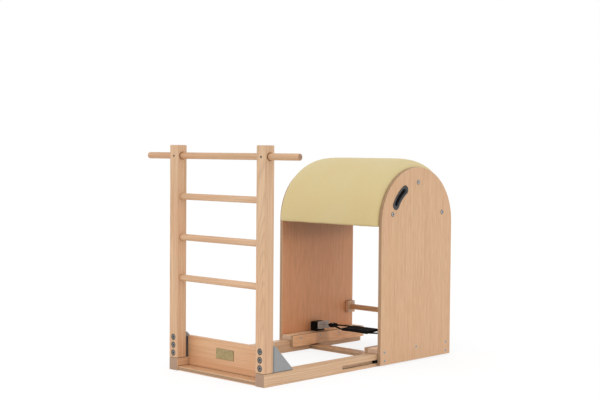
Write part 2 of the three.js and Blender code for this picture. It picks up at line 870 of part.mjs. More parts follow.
// A round tube along the closed loop, with rings only where the line bends.
function loopTube(diameter, sides) {
  const rings = cordLine().curves.flatMap((curve) => {
    const steps = curve.isLineCurve3 ? 1 : bendSteps;
    return Array.from({ length: steps }, (_, i) => {
      const t = i / steps;
      return { centre: curve.getPoint(t), ahead: curve.getTangent(t) };
    });
  });
  const up = new THREE.Vector3(0, 0, 1);
  const positions = rings.flatMap(({ centre, ahead }) => {
    const aside = new THREE.Vector3().crossVectors(ahead, up).normalize();
    const onRing = (point) => centre.clone().addScaledVector(aside, point.x).addScaledVector(up, point.y);
    return arc(0, 0, diameter / 2, 0, 2 * halfTurn, sides)
      .slice(0, -1)
      .flatMap((point) => onRing(point).toArray());
  });
  const corners = [];
  rings.forEach((_, i) => {
    const [here, there] = [i * sides, ((i + 1) % rings.length) * sides];
    for (let k = 0; k < sides; k++) {
      const next = (k + 1) % sides;
      corners.push(here + k, there + next, here + next, here + k, there + k, there + next);
    }
  });
  const geometry = new THREE.BufferGeometry();
  geometry.setAttribute("position", new THREE.BufferAttribute(new Float32Array(positions), 3));
  geometry.setIndex(corners);
  return solid(geometry);
}

function cordTunnel() {
  return loopTube(cordDiameter + 2 * cordClearance, cordSides);
}

// The cord ends in a stiff tab, whose neck goes through the plate to a roll behind it.
function strapEnd() {
  const face = pullPlateInner - seatGap;
  const thickness = around(strapHeight, strapEndThickness);
  const tab = block(around(latchX, strapEndWidth), [face - strapEndLength, face], thickness, plyRound);
  const roll = pullPlateOuter + strapRollFromPlate;
  const neckThickness = around(strapHeight, strapNeckThickness);
  const neck = block(around(latchX, strapNeckWidth), [face - overrun, roll], neckThickness);
  const place = [latchX, roll, strapHeight];
  const bar = rod(strapRollDiameter, around(0, strapNeckWidth), "x", place, smallSides);
  return cut(join(tab, neck, bar), cordTunnel());
}

function handSleeve() {
  const height = around(strapHeight, sleeveThickness);
  const sleeve = block(around(latchX, sleeveWidth), around(0, sleeveLength), height, sleeveThickness / 3, 2);
  return cut(sleeve, cordTunnel());
}

// Assembly

const leftAndRight = { left: 1, right: -1 };

// Adds a piece of each side, the right one mirrored.
function addPair(group, name, body, material) {
  for (const [side, turn] of Object.entries(leftAndRight)) {
    const mesh = piece(`${name}_${side}`, body, material);
    mesh.scale.y = turn;
    group.add(mesh);
  }
}

function buildBase() {
  const base = new THREE.Group();
  addPair(base, "rail", rail(), beech);
  addPair(base, "post", post(), beech);
  addPair(base, "gusset", gusset(), zincSteel);
  for (const [level, z] of Object.entries(postBoltHeights)) {
    addPair(base, `post_bolt_${level}`, postBolt(z), steel);
  }
  base.add(piece("top_bar", topBar(), beech));
  const rungNames = ["rung_upper", "rung_middle", "rung_lower"];
  rungHeights().forEach((z, i) => base.add(piece(rungNames[i] ?? `rung_${i + 1}`, rung(z), beech)));
  base.add(piece("foot_board", footBoard(), plywood));
  base.add(piece("kick_board", kickBoard(), beech));
  base.add(piece("name_plate", namePlate(), brass));
  base.add(piece("tie_board", tieBoard(), plywood));
  return base;
}

function buildBarrel() {
  const barrel = new THREE.Group();
  addPair(barrel, "side_panel", sidePanel(), plywood);
  addPair(barrel, "hand_grip", handGrip(), blackPlastic);
  for (const [place, angle] of Object.entries(battenAngles)) {
    barrel.add(piece(`batten_${place}`, batten(angle), innerPly));
    addPair(barrel, `panel_bolt_${place}`, panelBolt(angle), steel);
  }
  barrel.add(piece("barrel_shell", barrelShell(), innerPly));
  barrel.add(piece("barrel_pad", barrelPad(), upholstery));
  addPair(barrel, "runner", runner(), beech);
  addPair(barrel, "cheek", cheek(), plywood);
  addPair(barrel, "guide_front", guide(barrelStart - guideNose), blackPlastic);
  addPair(barrel, "guide_rear", guide(barrelEnd - guideLength), blackPlastic);
  addPair(barrel, "bar_block", barBlock(), beech);
  barrel.add(piece("lower_bar", lowerBar(), beech));
  addPair(barrel, "latch_housing", latchHousing(), blackPlastic);
  return barrel;
}

function buildLatches() {
  const latches = new THREE.Group();
  addPair(latches, "latch_pin", latchPin(), steel);
  addPair(latches, "pull_plate", pullPlate(), zincSteel);
  addPair(latches, "latch_spring", latchSpring(), steel);
  addPair(latches, "strap_end", strapEnd(), blackFabric);
  latches.add(piece("pull_cord", loopTube(cordDiameter, cordSides), blackFabric));
  latches.add(piece("hand_sleeve", handSleeve(), blackFabric));
  return latches;
}

const ladderBarrel = new THREE.Group();
ladderBarrel.name = "pilates_ladder_barrel";
ladderBarrel.add(buildBase(), buildBarrel(), buildLatches());
ladderBarrel.position.x = -overallLength / 2;

export default ladderBarrel;
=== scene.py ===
"""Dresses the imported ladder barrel: camera, light, straps, pad, dowels, fittings and every finish.

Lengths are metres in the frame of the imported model: X from the ladder to the barrel, Y to the left, Z up.
"""
import math

import bmesh
import bpy
import numpy as np
from bpy.props import FloatProperty, FloatVectorProperty, PointerProperty
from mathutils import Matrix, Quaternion, Vector


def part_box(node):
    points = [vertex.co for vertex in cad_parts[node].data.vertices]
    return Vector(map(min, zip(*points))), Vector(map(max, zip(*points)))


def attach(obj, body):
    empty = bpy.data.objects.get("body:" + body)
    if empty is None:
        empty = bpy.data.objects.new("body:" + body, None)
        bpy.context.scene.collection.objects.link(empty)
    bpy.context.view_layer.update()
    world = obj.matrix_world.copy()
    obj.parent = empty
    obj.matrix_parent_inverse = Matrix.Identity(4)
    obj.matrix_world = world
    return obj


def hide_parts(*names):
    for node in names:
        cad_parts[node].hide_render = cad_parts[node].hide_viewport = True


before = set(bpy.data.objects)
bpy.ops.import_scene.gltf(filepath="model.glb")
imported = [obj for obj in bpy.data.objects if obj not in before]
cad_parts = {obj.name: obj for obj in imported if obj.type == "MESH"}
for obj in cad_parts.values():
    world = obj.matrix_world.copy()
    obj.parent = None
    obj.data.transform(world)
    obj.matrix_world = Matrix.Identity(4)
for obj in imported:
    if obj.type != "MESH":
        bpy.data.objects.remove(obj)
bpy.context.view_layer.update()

bl_info = {
    "name": "Ladder Barrel Studio",
    "version": (1, 0, 0),
    "blender": (4, 5, 0),
    "location": "3D View > Sidebar > Barrel",
    "description": "Gives a pilates ladder barrel its upholstery, timber, fittings and studio light",
    "category": "Object",
}

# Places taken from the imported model

PANEL_LOW, PANEL_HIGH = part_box("side_panel_left")
PAD_LOW, PAD_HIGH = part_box("barrel_pad")
SHELL_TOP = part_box("barrel_shell")[1].z
ARCH_RADIUS = (PANEL_HIGH.x - PANEL_LOW.x) / 2
ARCH_X = (PANEL_HIGH.x + PANEL_LOW.x) / 2
ARCH_Z = PANEL_HIGH.z - ARCH_RADIUS
PANEL_OUTER = PANEL_HIGH.y
PAD_HALF = PAD_HIGH.y
PAD_OVERHANG = ARCH_Z - PAD_LOW.z
PAD_INNER = SHELL_TOP - ARCH_Z + 0.0006  # just over the shell
PAD_CROWN = PAD_HIGH.z - ARCH_Z - ARCH_RADIUS
SIDES = (1, -1)
TAU = 2 * math.pi
MM = 0.001


def size_property(name, description, default):
    return FloatProperty(name=name, description=description, default=default, unit="LENGTH")


class BarrelSizes(bpy.types.PropertyGroup):
    """The sizes that a user would change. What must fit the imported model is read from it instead."""

    pad_round: size_property("Pad edge", "Radius of the pad's lower edges", 0.005)
    pad_flatness: FloatProperty(
        name="Flatness across", description="How far the crown stays level to its sides", default=9)
    pad_end_flatness: FloatProperty(
        name="Flatness at the ends", description="What its ends add to that", default=15)
    pad_length_flatness: FloatProperty(
        name="Flatness along", description="How far the crown stays level to its ends", default=130)
    pad_swell: size_property("Pad swell", "Most that the cover swells under its foam", 0.004)
    dowel_chamfer: size_property("Dowel ends", "Chamfer of the dowels' free ends", 0.003)
    cord_diameter: size_property("Cord", "Diameter of the pull cords", 0.0075)
    screw_diameter: size_property("Screw heads", "Diameter of the small screw heads", 0.0135)
    grip_dish: size_property("Grip dish", "How deep the grips' faces are dished", 0.0016)


def colour_property(name, description, default):
    return FloatVectorProperty(name=name, description=description, default=default,
                               subtype="COLOR", size=3, min=0, max=1)


class BarrelColours(bpy.types.PropertyGroup):
    """The colours that a user would change, as linear red, green and blue."""

    beech: colour_property("Beech", "Solid timber of ladder and rails", (0.675, 0.437, 0.258))
    # the kick board's warmer colour is partly its own tint and partly painted bounce light
    kick_beech_tint_and_light: colour_property("Kick board", "Warmer timber of the kick board", (0.70, 0.415, 0.225))
    veneer: colour_property("Veneer", "Faces of the plywood panels", (0.668, 0.416, 0.24))
    # the inside faces are darker and redder than the outer veneer, as painted light bounced between the
    # wooden faces inside the barrel
    inner_veneer_painted_light: colour_property("Inner veneer", "Panel faces inside the barrel", (0.73, 0.367, 0.182))
    # the cheeks' inner faces are paler than the veneer, as painted light on the low parts inside the barrel
    cheek_veneer_painted_light: colour_property("Cheeks", "Paler inner faces of the barrel's cheeks", (0.84, 0.49, 0.26))
    leatherette: colour_property("Leatherette", "Cover of the barrel's pad", (0.70, 0.567, 0.278))
    dark_beech: colour_property("Dark beech", "Redder timber of the top and rear bars", (0.60, 0.36, 0.195))
    # the runners' colour is paler than the beech, as painted light on their tops under the pad
    runner_beech_painted_light: colour_property("Runners", "Paler timber of the barrel's runners", (0.95, 0.66, 0.41))
    coated_steel: colour_property("Coated steel", "Gussets", (0.33, 0.335, 0.335))
    bright_steel: colour_property("Bright steel", "Bolts and screws", (0.50, 0.50, 0.49))
    plastic: colour_property("Plastic", "Grips, guides and latch housings", (0.014, 0.015, 0.017))
    webbing: colour_property("Webbing", "Cords, sleeve and strap ends", (0.006, 0.006, 0.0065))
    brass: colour_property("Brass", "The bare plate", (0.40, 0.31, 0.15))


# Shader arithmetic


class Value:
    """One socket of a material, with the arithmetic that the finishes are written in."""

    def __init__(self, finish, socket):
        self.finish, self.socket = finish, socket

    def math(self, operation, *others):
        return self.finish.node("Math", {"operation": operation}, dict(enumerate((self, *others))))

    def __add__(self, other):
        return self.math("ADD", other)

    def __sub__(self, other):
        return self.math("SUBTRACT", other)

    def __mul__(self, other):
        return self.math("MULTIPLY", other)

    def __pow__(self, other):
        return self.math("POWER", other)

    def __rsub__(self, other):
        return self * -1 + other

    __radd__ = __add__
    __rmul__ = __mul__

    def ramp(self, low, high):
        """0 below low and 1 above high, with a soft step between. It falls instead if low is higher."""
        return self.finish.node("MapRange", {"interpolation_type": "SMOOTHSTEP"},
                                {"Value": self, "From Min": low, "From Max": high})


class Finish:
    """A material and the one method that adds nodes to it."""

    def __init__(self, name):
        self.material = bpy.data.materials.new(name)
        self.material.use_nodes = True
        self.tree = self.material.node_tree
        self.tree.nodes.clear()

    def node(self, kind, settings=None, inputs=None, output=0):
        node = self.tree.nodes.new("ShaderNode" + kind)
        for name, value in (settings or {}).items():
            setattr(node, name, value)
        for name, value in (inputs or {}).items():
            if isinstance(value, Value):
                self.tree.links.new(value.socket, node.inputs[name])
            else:
                node.inputs[name].default_value = value
        return Value(self, node.outputs[output]) if node.outputs else None

    def place(self):
        """X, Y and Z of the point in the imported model's frame."""
        where = self.node("TexCoord", output="Object")
        split = self.node("SeparateXYZ", inputs={"Vector": where})
        return [Value(self, output) for output in split.socket.node.outputs]

    def weave_place(self):
        """The point's place along and across a piece's own surface, in metres."""
        where = self.node("UVMap", {"uv_map": "weave"})
        split = self.node("SeparateXYZ", inputs={"Vector": where})
        return [Value(self, output) for output in split.socket.node.outputs][:2]

    def vector(self, x, y, z=0.0):
        return self.node("CombineXYZ", inputs={"X": x, "Y": y, "Z": z})

    def noise(self, vector, scale=1.0, detail=2.0, roughness=0.5):
        return self.node("TexNoise", inputs={"Vector": vector, "Scale": scale, "Detail": detail,
                                             "Roughness": roughness})

    def mix(self, factor, first, second):
        """A colour between two, by a share of the second."""
        first, second = (c if isinstance(c, Value) else (*c, 1) for c in (first, second))
        return self.node("Mix", {"data_type": "RGBA"}, {0: factor, 6: first, 7: second}, 2)

    def scaled(self, colour, amount):
        """A colour times a number."""
        colour = colour if isinstance(colour, Value) else tuple(colour)
        return self.node("VectorMath", {"operation": "SCALE"}, {0: colour, "Scale": amount})

    def bump(self, height, distance, strength=1.0):
        return self.node("Bump", inputs={"Height": height, "Distance": distance, "Strength": strength})

    def shade(self, base, roughness, normal=None, **fixed):
        """The finish's one surface. What is in fixed is the same all over."""
        inputs = {"Base Color": base, "Roughness": roughness}
        if normal is not None:
            inputs["Normal"] = normal
        inputs.update({name.replace("_", " ").title().replace("Ior", "IOR"): v for name, v in fixed.items()})
        shader = self.node("BsdfPrincipled", inputs=inputs)
        self.node("OutputMaterial", inputs={"Surface": shader})
        return self.material


def along_grain(finish, along):
    """The point's place along the grain and in the two directions across it."""
    x, y, z = finish.place()
    return {"x": (x, y, z), "y": (y, z, x), "z": (z, x, y)}[along]


PITH_LEAN, PITH_WANDER = 0.035, 0.055
END_SKIN = 0.0009  # how deep the end grain's colour goes


def figure(finish, along, pith, ring_width, seed):
    """Growth rings, streaks and flecks of beech, each from 0 to 1.

    A ring line is a power of the sine of the distance from the pith's line. The pith leans by a share of
    the length and wanders by slow noise, which draws arches on flat-sawn faces. Streaks and flecks are
    noises drawn out along the grain.
    """
    a, b, c = along_grain(finish, along)
    slow = finish.noise(finish.vector(a * 2.2, b * 5 + seed, c * 5), detail=1.5)
    drift = finish.noise(finish.vector(a * 3.1, b * 7, c * 7 + seed), detail=1.5)
    u = b - pith[0] + a * PITH_LEAN + (slow - 0.5) * PITH_WANDER
    v = c - pith[1] + (drift - 0.5) * PITH_WANDER
    distance = (u * u + v * v) ** 0.5
    ring = ((distance * (TAU / ring_width)).math("SINE") * 0.5 + 0.5) ** 3.0
    streak = finish.noise(finish.vector(a * 3, b * 210 + seed, c * 210), detail=3, roughness=0.6)
    fleck = finish.noise(finish.vector(a * 330, b * 2100, c * 2100), detail=1)
    return ring, streak, fleck.ramp(0.60, 0.72), slow


def painted_shade_near(finish, boxes):
    """Painted shade beside a finish's neighbours: 1 away from them and less within a few millimetres.

    A box is its low corner, its high corner, the width of its shade and how dark that is. The distance to a
    box is the most, over the three axes, of the distance from its middle less half its size.
    """
    place = finish.place()
    light = 1.0
    for low, high, width, depth in boxes:
        outside = [(p - (a + b) / 2).math("ABSOLUTE") - (b - a) / 2 for p, a, b in zip(place, low, high)]
        distance = outside[0].math("MAXIMUM", outside[1]).math("MAXIMUM", outside[2])
        light = light * (1 - distance.ramp(width, width * 0.25) * depth)
    return light


def tinted(finish, colour, tone):
    """A colour times a tint that goes from a little paler to a warmer brown as the tone rises."""
    tint = finish.mix(tone.ramp(0.40, 0.62), (1.03, 1.045, 1.065), (0.985, 0.93, 0.88))
    return finish.node("VectorMath", {"operation": "MULTIPLY"}, {0: colour, 1: tint})


def timber(name, colour, along, pith, length, seed, ring_width, ring_depth=0.13, contrast=1.0, boxes=()):
    """Oiled solid beech: rings, streaks and fine dark flecks, with darker end grain at both ends."""
    finish = Finish(name)
    ring, streak, fleck, slow = figure(finish, along, pith, ring_width, seed)
    a, b, c = along_grain(finish, along)
    pink = (colour[0] * 1.01, colour[1] * 0.96, colour[2] * 0.95)
    pale = (colour[0] * 1.01, colour[1] * 1.04, colour[2] * 1.07)
    base = finish.mix(slow.ramp(0.32, 0.68), pink, pale)
    band = finish.noise(finish.vector(a * 3.5, b * 95 + seed, c * 95), detail=4, roughness=0.65)
    shade = 1.06 - ring * ring_depth - fleck * 0.13
    shade = shade - (streak - 0.5) * (0.55 * contrast) - (band - 0.5) * (0.2 * contrast)
    base = tinted(finish, base, streak * 0.6 + band * 0.4)
    # painted shade at the joints, in the rails' grooves and round the latches
    shade = shade * painted_shade_near(finish, boxes)
    ends = (a.ramp(length[0] + END_SKIN, length[0] + END_SKIN / 2)
            + a.ramp(length[1] - END_SKIN, length[1] - END_SKIN / 2))
    dots = finish.noise(finish.vector(a * 20, b * 1500, c * 1500), detail=1)
    dark = (colour[0] * 0.63, colour[1] * 0.62, colour[2] * 0.69)
    end_grain = finish.scaled(dark, 1.12 - ring * 0.2 - dots.ramp(0.45, 0.7) * 0.2)
    base = finish.mix(ends, finish.scaled(base, shade), end_grain)
    height = (streak * 0.5 - fleck) * 0.6 - ring * 0.2
    return finish.shade(base, 0.50 + (streak - 0.5) * 0.25 + fleck * 0.12, finish.bump(height, 0.00012),
                        coat_weight=0.12, coat_roughness=0.35)


def plywood(name, face, inner_face, across, span, grain, seed, plies=13, boxes=(), under=()):
    """Lacquered plywood, worked out right through the board.

    The place through the thickness, counted in plies, gives the veneer. The first and last ply are the
    faces, with fine upright stripes. The plies between them run by turns along and across the grain, so the
    edges show light and dark lines.
    """
    finish = Finish(name)
    x, y, z = finish.place()
    depth = {"x": x, "y": y, "z": z}[across]
    a, b, c = along_grain(finish, grain)
    layer = (depth - span[0]) * (plies / (span[1] - span[0]))
    first, last = layer.ramp(1.0, 0.9), layer.ramp(plies - 1, plies - 0.9)
    faces = first + last
    slow = finish.noise(finish.vector(a * 1.3, b * 7 + seed, c * 7), detail=2)
    sheet = finish.noise(finish.vector(a * 0.9 + seed, b * 26, c * 4), detail=3, roughness=0.55)
    stripe = finish.noise(finish.vector(a * 13, b * 380 + seed, c * 80), detail=3, roughness=0.65)
    pore = finish.noise(finish.vector(a * 260, b * 2400 + seed, c * 700), detail=1).ramp(0.60, 0.74)
    wave = ((sheet * 46 + b * 210).math("SINE") * 0.5 + 0.5) ** 4.0
    warm = [(f[0] * 1.005, f[1] * 0.985, f[2] * 0.975) for f in (face, inner_face)]
    cool = [(f[0] * 1.0, f[1] * 1.01, f[2] * 1.02) for f in (face, inner_face)]
    outer = finish.mix(slow.ramp(0.35, 0.65), warm[0], cool[0])
    inner = finish.mix(slow.ramp(0.35, 0.65), warm[1], cool[1])
    # painted shade that the pad throws on the panels' inner faces
    inner = finish.scaled(inner, painted_shade_near(finish, under))
    facing = first if span[0] < 0 else last
    veneer = finish.mix(facing, inner, outer)
    band = finish.noise(finish.vector(a * 2.4, b * 95 + seed, c * 30), detail=4, roughness=0.65)
    grain_shade = 1.05 - (stripe - 0.5) * 0.45 - pore * 0.12 - wave * 0.04 - (band - 0.5) * 0.15
    veneer = tinted(finish, veneer, stripe * 0.6 + band * 0.4)
    turn = (layer * 0.5).math("FRACT").ramp(0.46, 0.54)
    soot = finish.noise(finish.vector(x * 300, y * 300, z * 300), detail=3)
    core = finish.scaled(face, 0.35 + turn * 0.54 - (soot - 0.5) * 0.30)
    base = finish.mix(faces, core, finish.scaled(veneer, grain_shade))
    # painted shade at the joints and round the latches
    base = finish.scaled(base, painted_shade_near(finish, boxes))
    height = stripe * 0.5 - pore + (1 - faces) * (soot * 1.6 + turn * 0.8)
    return finish.shade(base, 0.47 + (stripe - 0.5) * 0.2 + (1 - faces) * 0.2, finish.bump(height, 0.00010),
                        coat_weight=0.12, coat_roughness=0.3)


def leatherette(name, colour):
    """Embossed leatherette: soft pebbles between fine creases, with long shallow wrinkles over them."""
    finish = Finish(name)
    where = finish.node("TexCoord", output="Object")
    pebble = finish.node("TexVoronoi", {"feature": "SMOOTH_F1"},
                         {"Vector": where, "Scale": 520.0, "Smoothness": 0.5}, "Distance")
    crease = finish.node("TexVoronoi", {"feature": "DISTANCE_TO_EDGE"},
                         {"Vector": where, "Scale": 210.0}, "Distance").ramp(0.0, 0.16)
    wrinkle = finish.noise(where, 55.0, 3.0, 0.55)
    cloud = finish.noise(where, 3.5, 2.0)
    warm = (colour[0] * 1.01, colour[1] * 0.985, colour[2] * 0.95)
    pale = (colour[0] * 1.01, colour[1] * 1.02, colour[2] * 1.06)
    base = finish.mix(cloud.ramp(0.35, 0.65), warm, pale)
    base = finish.scaled(base, 0.985 + crease * 0.035 - (pebble - 0.4) * 0.04 + (wrinkle - 0.5) * 0.03)
    height = crease * 0.5 - pebble * 0.5 + wrinkle * 0.35
    return finish.shade(base, 0.52 + (1 - crease) * 0.14 + (wrinkle - 0.5) * 0.12,
                        finish.bump(height, 0.00045, 0.8), coat_weight=0.05, coat_roughness=0.4)


TAUPE_STEEL = (0.44, 0.38, 0.335)  # the pull plates and the strap's hooks


def metal(name, colour, roughness, metallic, along="z", streaks=900.0, worn=0.06, boxes=()):
    """Steel or brass with fine drawn lines, faint clouds and small pits."""
    finish = Finish(name)
    a, b, c = along_grain(finish, along)
    line = finish.noise(finish.vector(a * 30, b * streaks, c * streaks), detail=2)
    cloud = finish.noise(finish.vector(a * 60, b * 60, c * 60), detail=4, roughness=0.6)
    pit = finish.noise(finish.vector(a * 1100, b * 1100, c * 1100), detail=1).ramp(0.66, 0.78)
    shade = 1.0 + (line - 0.5) * 0.14 - (cloud - 0.5) * worn * 4 - pit * 0.16
    # painted shade at the gussets' joints, beside their bends and behind the kick board
    base = finish.scaled(colour, shade * painted_shade_near(finish, boxes))
    return finish.shade(base, roughness + (line - 0.5) * 0.2 + (cloud - 0.5) * 0.25,
                        finish.bump(line * 0.4 - pit, 0.00005), metallic=metallic)


def moulded(name, colour, roughness=0.42, gloss=0.5):
    """Black moulded plastic with a spark-eroded texture and rubbed patches."""
    finish = Finish(name)
    where = finish.node("TexCoord", output="Object")
    stipple = finish.noise(where, 1500.0, 2.0)
    rub = finish.noise(where, 38.0, 3.0, 0.6).ramp(0.45, 0.75)
    base = finish.mix(rub * 0.5, colour, tuple(c * 1.9 + 0.004 for c in colour))
    return finish.shade(base, roughness + (stipple - 0.5) * 0.2 - rub * 0.1, finish.bump(stipple, 0.00010),
                        specular_ior_level=gloss)


def woven(name, colour, pitch, braid=False):
    """Black webbing: a twill of two sines on the piece's own surface, or a braid of crossing spirals."""
    finish = Finish(name)
    u, v = finish.weave_place()
    turns = TAU / pitch
    if braid:
        over, under = ((u + v) * turns).math("SINE"), ((u - v) * turns).math("SINE")
    else:
        over, under = (u * turns).math("SINE"), ((v * turns) + (u * turns * 0.5)).math("SINE")
    height = over * under * 0.5 + 0.5
    fuzz = finish.noise(finish.vector(u * 900, v * 900), detail=3, roughness=0.7)
    low, high = tuple(c * 0.6 for c in colour), tuple(c * 2.2 + 0.002 for c in colour)
    base = finish.mix(height.ramp(0.2, 0.9), low, high)
    base = finish.scaled(base, 0.75 + fuzz * 0.5)
    return finish.shade(base, 0.86 + (fuzz - 0.5) * 0.2, finish.bump(height + fuzz * 0.4, 0.0003),
                        specular_ior_level=0.06, sheen_weight=0.012, sheen_roughness=0.5)


# Meshes from grids of points


def quads(points, wraps):
    """A mesh whose faces join each point of a grid to its neighbours. wraps says whether the last row and the
    last column join the first. Its map, in metres, counts the mean length of the steps along and across."""
    rows, columns = points.shape[:2]
    i, j = np.meshgrid(np.arange(rows - (not wraps[0])), np.arange(columns - (not wraps[1])), indexing="ij")
    corner_i = np.stack([i, i + 1, i + 1, i], -1).reshape(-1)
    corner_j = np.stack([j, j, j + 1, j + 1], -1).reshape(-1)
    index = (corner_i % rows) * columns + corner_j % columns
    mesh = bpy.data.meshes.new("grid")
    mesh.vertices.add(rows * columns)
    mesh.vertices.foreach_set("co", points.astype(np.float32).ravel())
    mesh.loops.add(len(index))
    mesh.loops.foreach_set("vertex_index", index.astype(np.int32))
    mesh.polygons.add(len(index) // 4)
    mesh.polygons.foreach_set("loop_start", np.arange(0, len(index), 4, dtype=np.int32))
    step_i = np.linalg.norm(np.diff(points, axis=0), axis=2).mean() if rows > 1 else 0
    step_j = np.linalg.norm(np.diff(points, axis=1), axis=2).mean()
    places = np.stack([corner_j * step_j, corner_i * step_i], -1).astype(np.float32)
    mesh.uv_layers.new(name="weave").data.foreach_set("uv", places.ravel())
    mesh.update(calc_edges=True)
    return mesh


def form(name, body, slot, finish, grids, replaces=(), sharp=40.0):
    """A finished piece from one or more grids: doubles merged, open ends closed, faces turned outwards."""
    shape = bmesh.new()
    for points, wraps in grids:
        mesh = quads(points, wraps)
        shape.from_mesh(mesh)
        bpy.data.meshes.remove(mesh)
    bmesh.ops.remove_doubles(shape, verts=shape.verts, dist=2e-6)
    bmesh.ops.dissolve_degenerate(shape, edges=shape.edges, dist=1e-6)
    bmesh.ops.holes_fill(shape, edges=[e for e in shape.edges if e.is_boundary], sides=0)
    bmesh.ops.recalc_face_normals(shape, faces=shape.faces)
    mesh = bpy.data.meshes.new(name)
    shape.to_mesh(mesh)
    shape.free()
    mesh.shade_smooth()
    mesh.set_sharp_from_angle(angle=math.radians(sharp))
    mesh.materials.append(finish)
    piece = bpy.data.objects.new(name, mesh)
    bpy.context.scene.collection.objects.link(piece)
    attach(piece, body)
    if replaces:
        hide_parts(*replaces)
    return piece


def filleted(corners, radius, steps=5, closed=False):
    """A line of straight runs with an arc of the given radius in place of each corner.

    The arc starts radius times the tangent of half the turn before the corner and ends as far after it.
    """
    corners = np.asarray(corners, float)
    count = len(corners)
    out = []
    for k in range(count):
        if not closed and k in (0, count - 1):
            out.append(corners[k][None])
            continue
        before, here, after = corners[k - 1], corners[k], corners[(k + 1) % count]
        a, b = (before - here), (after - here)
        la, lb = np.linalg.norm(a), np.linalg.norm(b)
        a, b = a / la, b / lb
        half = math.acos(float(np.clip(a @ b, -1, 1))) / 2
        reach = min(radius / math.tan(half), la * 0.49, lb * 0.49)
        size = reach * math.tan(half)
        middle = here + (a + b) / np.linalg.norm(a + b) * size / math.sin(half)
        start, end = here + a * reach - middle, here + b * reach - middle
        turn = math.acos(float(np.clip(start @ end / size**2, -1, 1)))
        t = np.linspace(0, 1, steps + 1)[:, None]
        out.append(middle + (np.sin((1 - t) * turn) * start + np.sin(t * turn) * end) / math.sin(turn))
    return np.concatenate(out)


AXES = {"x": (0, 1, 2), "y": (1, 2, 0), "z": (2, 0, 1)}


def turned(profile, axis, place, sides=48, hexed=None):
    """A profile of radius and height turned about a line through place.

    A hexed row's radius is divided by the cosine of the angle from the nearest flat's middle, which makes
    the circle a hexagon.
    """
    profile = np.asarray(profile, float)
    angle = np.arange(sides) * TAU / sides
    radius = np.repeat(profile[:, :1], sides, axis=1)
    if hexed is not None:
        flat = np.cos((angle + TAU / 12) % (TAU / 6) - TAU / 12)
        radius = np.where(np.asarray(hexed)[:, None], radius / flat, radius)
    points = np.zeros((*radius.shape, 3))
    main, second, third = AXES[axis]
    points[..., main] = profile[:, 1:]
    points[..., second] = radius * np.cos(angle)
    points[..., third] = radius * np.sin(angle)
    return points + np.asarray(place, float), (False, True)


def swept(path, section, closed=False, up=(0, 0, 1)):
    """A section carried along a path: its first number lies aside of the path and its second above it."""
    ahead = np.roll(path, -1, 0) - np.roll(path, 1, 0) if closed else np.gradient(path, axis=0)
    ahead /= np.linalg.norm(ahead, axis=1, keepdims=True)
    aside = np.cross(ahead, np.asarray(up, float))
    aside /= np.linalg.norm(aside, axis=1, keepdims=True)
    rise = np.cross(aside, ahead)
    rings = path[:, None] + section[None, :, :1] * aside[:, None] + section[None, :, 1:] * rise[:, None]
    return rings, (closed, True)


def circle(radius, sides):
    angle = np.arange(sides) * TAU / sides
    return np.stack([radius * np.cos(angle), radius * np.sin(angle)], -1)


def slab(outline, low, high, edge, steps=4, axis="z"):
    """A flat piece with rounded edges: at both faces the outline is drawn in by the edge's arc."""
    turn = np.linspace(0, math.pi / 2, steps + 1)
    inset = edge * (1 - np.sin(turn))
    height = np.concatenate([low + edge * (1 - np.cos(turn)), high - edge * (1 - np.cos(turn[::-1]))])
    inset = np.concatenate([inset, inset[::-1]])
    ahead = np.roll(outline, -1, 0) - np.roll(outline, 1, 0)
    normal = np.stack([ahead[:, 1], -ahead[:, 0]], -1)
    normal /= np.linalg.norm(normal, axis=1, keepdims=True)
    area = np.sum(outline[:, 0] * np.roll(outline[:, 1], -1) - outline[:, 1] * np.roll(outline[:, 0], -1))
    flat = outline[None] - inset[:, None, None] * normal[None] * np.sign(area)
    points = np.zeros((len(height), len(outline), 3))
    main, second, third = AXES[axis]
    points[..., main] = height[:, None]
    points[..., second], points[..., third] = flat[..., 0], flat[..., 1]
    return points, (False, True)


def mirrored(grids):
    """The same grids on the other side of the middle plane."""
    return [(points * (1, -1, 1), wraps) for points, wraps in grids]


def pair_of(name, body, slot, finish, grids, replaces=None, **more):
    """A piece of each side from the left one's grids. Braces in body and replaces stand for the side."""
    for side, made in (("left", grids), ("right", mirrored(grids))):
        gone = [replaces.format(side)] if replaces else []
        form(f"{name}_{side}", body.format(side), slot, finish, made, gone, **more)


def dress(finish, *nodes):
    """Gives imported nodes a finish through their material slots."""
    for node in nodes:
        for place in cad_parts[node].material_slots:
            place.material = finish


def middle_of(node):
    low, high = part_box(node)
    return (low + high) / 2


# Camera, floor and light

CAMERA_PLACE = (-4.08665, -3.80340, 0.97970)
CAMERA_HEADING = math.radians(46.2)  # from +Y towards +X
CAMERA_PITCH = math.radians(-2.36)
CAMERA_ROLL = math.radians(0.45)
CAMERA_LENS = 72.11
SENSOR_WIDTH = 36.0
FLOOR_SIZE, FLOOR_STEPS = 60.0, 9
FLOOR_GLOW = 0.75  # share of the floor's own white before the camera
GLOW_STRENGTH = 1.075  # makes up for what the lit share lacks, so that the open floor is just white
AMBIENT = 0.93
# name, direction that it shines from, width in degrees, strength
LAMPS = (
    ("broad_light_front", (-0.95, -0.10, 0.28), 35.0, 0.09),
    ("broad_light_right", (-0.25, -0.85, 0.45), 45.0, 0.14),
    ("broad_light_left", (-0.62, 0.62, 0.48), 45.0, 0.14),
)


